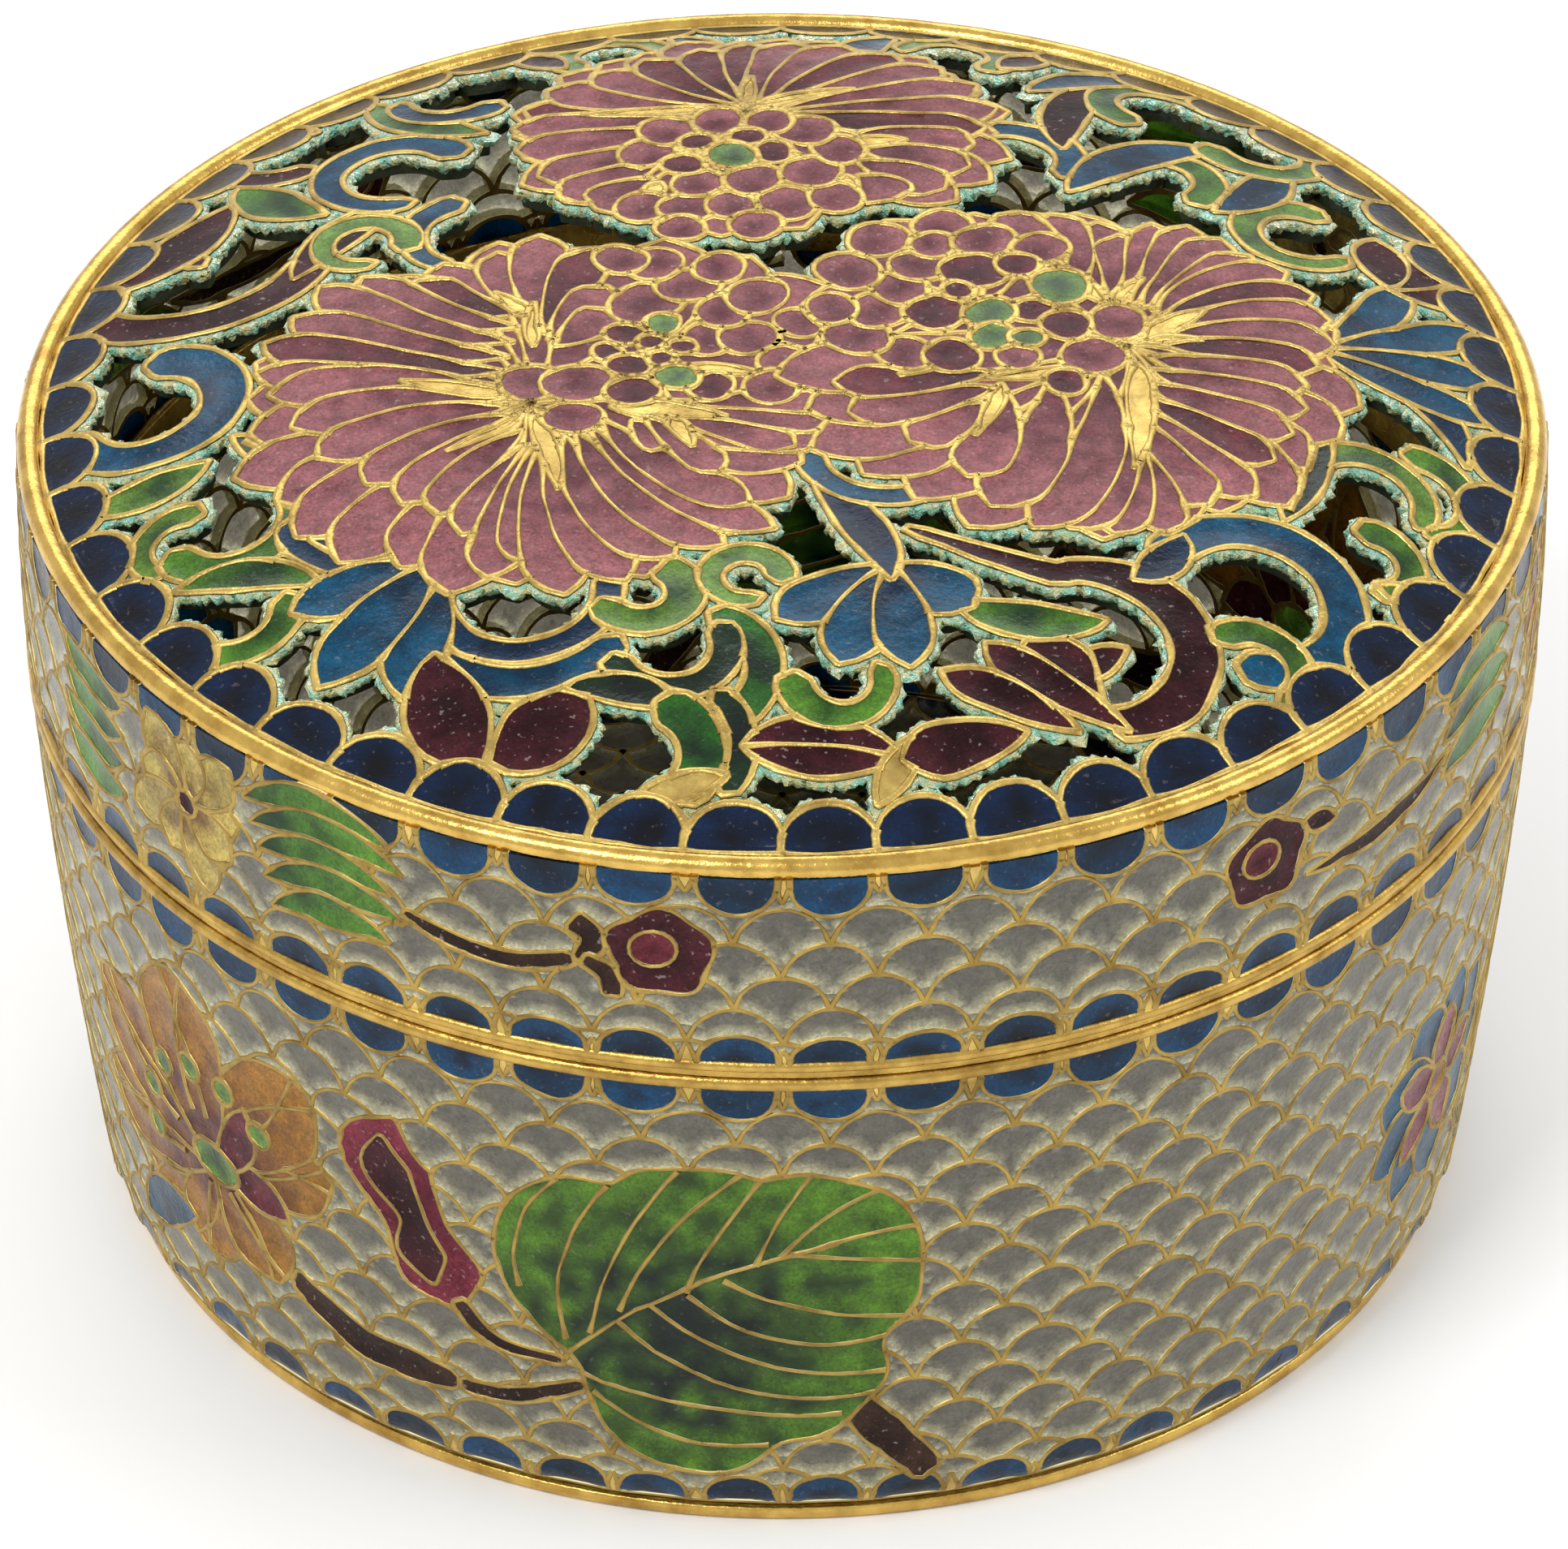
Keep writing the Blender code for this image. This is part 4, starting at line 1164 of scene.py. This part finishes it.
def base_drawing():
    low = heel_level - heel_round * 1.4
    high = base_ring_bottom + 0.1
    art = wall_drawing(low, high, high - 1.4)
    scallops(art, high, 1.75, True)
    scallops(art, low + 1.0, 1.7, False)
    for turn in (-180, 0, 180):
        def at(degrees, depth, turn=turn):
            return on_wall(degrees + turn, depth)

        # Amber flower, bud, twigs and the large leaf.
        centre = at(-50.3, 26.6)
        petals = ((-61.5, 30.6, 5.0), (-54.0, 33.0, 4.6), (-44.0, 31.8, 5.2), (-36.6, 23.4, 4.8),
                  (-38.2, 18.4, 5.6), (-67.5, 27.2, 5.0), (-66.0, 20.6, 6.0), (-53.6, 16.0, 6.4))
        for degrees, depth, width in petals:
            tip = at(degrees, depth)
            petal = blade(centre, tip, width, 0.04, 0.7)
            span = (tip - centre).length * 0.95
            number = art.cell(petal, "amber", (linear(76, 14, 20), amber[1]), centre, span)
            for side in (-1, 1):
                vein_end = tip + (tip - centre).orthogonal() * 0.1 * side
                art.line(spine_of(centre, vein_end, 0.04 - 0.1 * side, 0.25, 1.0), number)
        art.cell(blade(centre, at(-41.8, 27.4), 2.6, 0.1, 0.6), "plum", rose_deep, centre)
        art.cell(blade(centre, at(-45.6, 21.8), 2.2, -0.1, 0.6), "plum", rose_deep, centre)
        for step in range(6):
            art.cell(ring_of(point(centre, 5.3, 45 + 29 * step), 0.75, 10), "green", moss)
        art.cell(ring_of(centre, 1.75, 16, 0.66), "green", moss)
        art.cell(blade(at(-54.5, 31.6), at(-64.5, 35.2), 2.8, -0.1), "blue", azure)
        bud = smooth([at(-30.2, 17.6), at(-31.4, 20.3), at(-29.2, 23.6), at(-27.2, 26.4), at(-25.8, 28.2)],
                     24)
        art.cell(limb(bud, (0.5, 5.2, 3.7, 4.8, 1.2)), "plum", (linear(80, 20, 34), linear(116, 42, 56)))
        heart = smooth([at(-31.6, 19.0), at(-31.4, 21.0), at(-29.4, 23.4), at(-28.8, 25.4), at(-27.8, 27.2)],
                       24)
        art.cell(limb(heart, (0.5, 2.7, 1.5, 2.7, 0.5)), "plum", plum)
        art.cell(limb(smooth([at(-25.8, 27.8), at(-24.2, 29.2), at(-21.9, 29.9), at(-17.2, 30.1)], 16),
                      (1.1, 1.0, 0.8, 0.7)), "plum", bark)
        art.cell(limb(smooth([at(-26.4, 33.1), at(-22.4, 33.1), at(-19.2, 32.3), at(-15.6, 31.3)], 16),
                      (1.0, 1.1, 0.9, 0.7)), "plum", bark)
        art.cell(limb(smooth([at(-42.1, 30.7), at(-38.9, 31.9), at(-35.2, 32.9), at(-30.6, 33.1),
                              at(-26.6, 33.1)], 20), (1.5, 2.0, 2.1, 2.1, 1.3)), "plum", bark)
        art.cell(limb(smooth([at(5.6, 31.5), at(8.4, 33.8), at(12.1, 36.6)], 12), (1.8, 2.1, 1.7)), "plum",
                 bark)
        swells = ((41, 2.0, 18), (148, 1.6, 20), (208, -2.3, 17), (75, -0.5, 4), (119, -0.8, 4.5),
                  (295, -1.4, 9), (325, -0.7, 14), (353, -1.3, 7))
        leaf = lobed(at(-5.6, 26.6), 9.6, swells)
        number = art.cell(leaf, "green", (linear(2, 26, 14), linear(96, 144, 26)), at(-7.5, 27.4), 15.5)
        art.line(spine_of(at(-17.4, 29.8), at(4.0, 21.4), 0.08), number)
        veins = ((-20.6, 25.7, -16.9, 18.6, 0.13), (-17.1, 28.4, -13.2, 18.6, 0.1),
                 (-15, 27.7, -7.7, 17.2, 0.05), (-12.5, 26.2, -3, 17.2, 0.07),
                 (-7.2, 24.5, -1.7, 17.6, 0.03), (-1.8, 22.6, 2.6, 17.0, 0.05), (0, 22.1, 8.2, 18.0, 0.08),
                 (2.6, 21.7, 10.2, 20.6, 0.04),
                 (0.6, 22, 10.4, 22.8, 0), (-4.3, 23.8, 10.2, 26.3, -0.06), (-7.2, 24.8, 7.9, 27.4, -0.14),
                 (-10.2, 25.6, 7.9, 29.6, -0.11),
                 (-12.8, 26.9, 7.2, 30.9, -0.13), (-15.8, 30.6, 4.6, 32.2, -0.04),
                 (-14.9, 31.6, -1.2, 34.2, -0.12))
        for start, start_depth, end, end_depth, bend in veins:
            art.line(spine_of(at(start, start_depth), at(end, end_depth), bend), number)
        # Blue flower with rose petals round the side.
        centre = at(64, 27)
        blossom(art, centre, 6.4, 9, "blue", azure, "green", moss)
        for step in range(5):
            art.cell(blade(centre, point(centre, 4.4, 72 * step + 12), 2.4, 0, 0.6), "rose", rose, centre)
        art.cell(ring_of(centre, 1.1, 12), "amber", amber)
        ribbed_leaf(art, at(74, 30), at(92, 22), 6.0, 0.1, "green", leaf_green, 4)
        ribbed_leaf(art, at(72, 32), at(86, 35.6), 3.0, -0.05, "green", moss, 3)
        art.cell(blade(at(88, 31.5), at(104, 27.0), 1.3, 0.06), "plum", bark)
    return art


def band_drawing():
    low, high = lid_ring_top - 0.1, edge_level - 0.3
    art = wall_drawing(low, high, high - 1.6)
    scallops(art, high, 1.9, True)
    scallops(art, low, 1.6, False)
    for turn in (-180, 0, 180):
        def at(degrees, depth, turn=turn):
            return on_wall(degrees + turn, depth)

        centre = at(-49, 4.9)
        for step in range(9):
            art.cell(blade(centre, point(centre, 4.6 if step % 2 else 3.5, 40 * step + 8), 2.6, 0, 0.66),
                     "amber", straw, centre)
        art.cell(ring_of(centre, 0.7, 10), "plum", plum)
        for step, depth in enumerate((1.9, 3.1, 4.4, 5.8, 7.2)):
            art.cell(blade(at(-42.6 + 0.6 * step, depth + 0.5), at(-29.5 + 1.1 * (step % 2), depth), 1.7,
                           0.12), "green", leaf_green, at(-42, 4.5))
        for step, depth in enumerate((2.2, 3.8, 5.4, 7.0)):
            art.cell(blade(at(-57, depth + 0.3), at(-67, depth - 0.3), 2.0, 0.1), "green", leaf_green,
                     at(-57, 4.5))
        art.cell(limb(smooth([at(-28.4, 5.0), at(-24.5, 5.9), at(-19.5, 6.1), at(-15, 5.5)], 16),
                      (0.6, 0.95, 1.0, 0.9)), "plum", bark)
        art.cell(limb(smooth([at(-15.2, 3.3), at(-13.6, 4.2), at(-14.6, 5.6)], 12), (1.3, 1.3, 0.8)), "plum",
                 bark)
        art.cell(limb(smooth([at(-14.4, 5.4), at(-12.6, 6.1), at(-12.4, 7.3)], 12), (0.8, 1.2, 0.9)), "plum",
                 bark)
        for middle, reach in ((at(-8.8, 4.6), 2.0), (at(37.6, 4.6), 1.9)):
            art.cell(lobed(middle, reach, [(72 * k + 18, 0.5, 20) for k in range(5)], 60), "plum", plum)
            art.cell(ring_of(middle + Vector((-0.3, 0.2)), 1.05, 16, 0.9), "plum", rose_deep)
        art.cell(blade(at(41.0, 3.4), at(44.4, 4.2), 1.2), "plum", plum)
        art.cell(blade(at(41.4, 6.4), at(58.5, 5.2), 1.1, -0.06), "plum", bark)
        for step, depth in enumerate((2.4, 4.2, 6.0)):
            art.cell(blade(at(57.5, depth + 0.5), at(69, depth), 2.2, 0.1), "green", leaf_green, at(57, 4.5))
        centre = at(80, 4.9)
        for step in range(8):
            art.cell(blade(centre, point(centre, 3.7, 45 * step), 2.5, 0, 0.66), "rose", rose, centre)
        art.cell(ring_of(centre, 0.7, 10), "green", moss)
        for step, depth in enumerate((2.6, 4.4, 6.2)):
            art.cell(blade(at(90, depth + 0.4), at(101, depth), 2.1, 0.1), "green", moss, at(90, 4.5))
    return art


def floor_drawing():
    """The base's floor: a plain scale ground in a scalloped ring."""
    reach = side_radius(heel_level) - heel_round - 0.02
    art = Drawing(lambda spot: spot)
    ground = art.cell(ring_of((0, 0), reach, 120), "clear", smoke_and_painted_wire_light, (0, 0), 1e4)
    for row in range(-18, 19):
        for column in range(-10, 11):
            centre = Vector((floor_scale_pitch * (column + 0.5 * (row % 2)), row_pitch * row))
            if centre.length > reach - 3.4:
                continue
            arc = []
            for k in range(9):
                share = (k - 4) / 4
                drop = row_pitch * (1 - math.sqrt(1 - (0.96 * share) ** 2)) / 0.72
                arc.append(Vector((centre.x + floor_scale_pitch / 2 * share, centre.y - drop)))
            art.line(arc, ground)
    for step in range(floor_scallop_count):
        middle = math.radians(360 / floor_scallop_count * step)
        outward = Vector((math.cos(middle), math.sin(middle)))
        sideways = Vector((-outward.y, outward.x))
        half = math.pi * reach / floor_scallop_count * 0.96
        outline = []
        for k in range(13):
            angle = math.pi * k / 12
            inward = reach - 0.2 - 2.0 * math.sin(angle)
            outline.append(outward * inward + sideways * half * math.cos(angle))
        art.cell(outline, "navy", navy)
    return art


def within_plan(x, y):
    return math.hypot(x, y) < panel_radius - 0.2


def within_floor(x, y):
    return math.hypot(x, y) < side_radius(heel_level) - heel_round - 0.3


def always(x, y):
    return True


corners = (-unrolled_radius, -unrolled_radius), (unrolled_radius, unrolled_radius)
lid_domain = (*corners, within_plan)
floor_domain = (*corners, within_floor)
band_domain = ((-half_turn + 0.3, lid_ring_top + 0.3), (half_turn - 0.3, edge_level - 0.8), always)
wall_domain = ((-half_turn + 0.3, heel_level - 1.4), (half_turn - 0.3, base_ring_bottom - 0.4), always)
build("lid_top", lid_drawing(), on_dome, lid_domain, ("lid_top_panel",), gold, painted_shade_cut_side, 0.3)
build("lid_band", band_drawing(), on_side, band_domain, ("lid_side_band",), painted_shade_wall_gold, painted_light_wire_side, 0.16,
      half_turn)
build("base_wall", base_drawing(), on_side, wall_domain, ("base_shell",), painted_shade_wall_gold, painted_light_wire_side, 0.16,
      half_turn)
build("base_floor", floor_drawing(), on_floor, floor_domain, (), painted_shade_wall_gold, painted_light_wire_side, 0.16)


# Gilt rings.


def turned(name, outline, surface, node, uneven, segments=240):
    """A ring turned from its section, slightly uneven."""
    verts, faces = [], []
    for step in range(segments):
        angle = 2 * math.pi * step / segments
        for radius, level in outline:
            spot = Vector((math.cos(angle) * radius, math.sin(angle) * radius, level))
            swing = 1 + noise.noise(spot * 0.7) * uneven / radius
            swing += noise.noise(spot * 3) * uneven / 2 / radius
            lift = noise.noise(spot * 0.9 + Vector((9, 0, 0))) * uneven
            verts.append(Vector((spot.x * swing, spot.y * swing, level + lift)))
    size = len(outline)
    for step in range(segments):
        here, after = step * size, (step + 1) % segments * size
        for side in range(size):
            other = (side + 1) % size
            faces.append((here + side, after + side, after + other, here + other))
    return mesh_piece(name, verts, faces, surface, (node,), 50)


def rounded(centre_radius, centre_level, half_width, half_height, count, power=1.0):
    """A round section, or with a power under one a squarer one."""
    outline = []
    for step in range(count):
        angle = 2 * math.pi * step / count
        across, up = math.cos(angle), math.sin(angle)
        radius = centre_radius + half_width * math.copysign(abs(across) ** power, across)
        level = centre_level + half_height * math.copysign(abs(up) ** power, up)
        outline.append((radius, level))
    return outline


def half_round(radius, level, across, up):
    """The outer side of a rounded ring, from its lowest spot to its highest."""
    turns = [math.radians(degrees) for degrees in range(-90, 91, 20)]
    return [(radius + across * math.cos(turn), level + up * math.sin(turn)) for turn in turns]


edge = rounded(edge_radius, edge_level, edge_wire / 2, edge_wire / 2, 16)
turned("edge_ring", edge, ring_gold, "lid_edge_ring", 0.018)

base_outer = side_radius(base_height) + ring_proud
lip_outer = side_radius(lid_ring_bottom) - wall_thickness - lip_clearance
lip_inner = lip_outer - lip_thickness
lip_top = base_height + lip_height
base_bead = half_round(base_outer - 0.28, base_ring_bottom + 0.35, 0.28, 0.35)
lip_outside = [(lip_outer, base_height), (lip_outer, lip_top - 0.1), (lip_outer - 0.1, lip_top)]
lip_inside = [(lip_inner + 0.1, lip_top), (lip_inner, lip_top - 0.1)]
base_section = [(lip_inner, base_ring_bottom)] + base_bead + lip_outside + lip_inside
turned("base_rim", base_section, rim_gold, "base_mouth_ring", 0.02)

lid_outer = side_radius(lid_ring_top) + ring_proud
lid_inner = side_radius(lid_ring_bottom) - wall_thickness
groove_bottom = base_height + 0.03
groove = [(lid_inner, groove_bottom), (lid_outer - 0.3, groove_bottom),
          (lid_outer - 0.3, lid_ring_bottom + 0.12)]
lid_bead = half_round(lid_outer - 0.25, lid_ring_bottom + 0.41, 0.25, 0.29)
turned("lid_rim", groove + lid_bead + [(lid_inner, lid_ring_top)], rim_gold, "lid_mouth_ring",
       0.015)

foot_outer = side_radius(shell_bottom) - heel_round * 0.5
half_width, half_height = foot_ring_width / 2, foot_ring_height / 2
foot = rounded(foot_outer - half_width, half_height, half_width, half_height, 16, 0.6)
turned("foot_ring", foot, ring_gold, "base_foot_ring", 0.0)


# Floor, light and camera.


def stage_floor():
    mesh = bpy.data.meshes.new("floor")
    reach = 3.0
    mesh.from_pydata([(-reach, -reach, 0), (reach, -reach, 0), (reach, reach, 0), (-reach, reach, 0)], [],
                     [(0, 1, 2, 3)])
    made, tree, shader = nodes_of("pale_floor")
    shader.inputs["Base Color"].default_value = (0.97, 0.97, 0.97, 1)
    shader.inputs["Roughness"].default_value = 0.7
    mesh.materials.append(made)
    floor = bpy.data.objects.new("floor", mesh)
    bpy.context.scene.collection.objects.link(floor)


def softbox(name, location, target, size, power):
    light = bpy.data.lights.new(name, "AREA")
    light.shape = "RECTANGLE"
    light.size, light.size_y = size
    light.energy = power
    made = bpy.data.objects.new(name, light)
    made.location = location
    made.rotation_mode = "QUATERNION"
    made.rotation_quaternion = (Vector(target) - Vector(location)).to_track_quat("-Z", "Y")
    bpy.context.scene.collection.objects.link(made)


stage_floor()
softbox("key", (-0.25, -0.35, 0.55), (0, 0, 0.03), (0.25, 0.25), 1.9)
softbox("fill", (0.5, -0.1, 0.45), (0, 0, 0.03), (0.3, 0.3), 0.8)
softbox("back", (0.0, 0.6, 0.5), (0, 0, 0.03), (0.6, 0.3), 1.2)
world = bpy.data.worlds.new("studio")
world.use_nodes = True
world.node_tree.nodes["Background"].inputs["Color"].default_value = (1, 1, 1, 1)
world.node_tree.nodes["Background"].inputs["Strength"].default_value = 0.82
bpy.context.scene.world = world
bpy.context.scene.view_settings.view_transform = "Standard"

# The photo's camera. The edge ring's centre stands above the middle of its picture.
picture_width = 1932
picture_middle = (966, 954.5)
ring_centre_in_picture = (963, 521.6)
focal_pixels = 13895
camera_rise = math.radians(33.97)
camera_distance = 15 * edge_radius / 1000
sight_side = math.atan((picture_middle[0] - ring_centre_in_picture[0]) / focal_pixels)
sight_drop = math.atan((picture_middle[1] - ring_centre_in_picture[1]) / focal_pixels)
camera = bpy.data.cameras.new("camera")
camera.sensor_width = 36
camera.lens = 36 * focal_pixels / math.cos(sight_drop) / picture_width
camera.clip_start = 0.01
camera_object = bpy.data.objects.new("camera", camera)
camera_back = camera_distance * math.cos(camera_rise)
camera_up = edge_level / 1000 + camera_distance * math.sin(camera_rise)
camera_object.location = (0, -camera_back, camera_up)
camera_object.rotation_euler = (math.pi / 2 - camera_rise - sight_drop, 0, -sight_side)
bpy.context.scene.collection.objects.link(camera_object)
bpy.context.scene.camera = camera_object
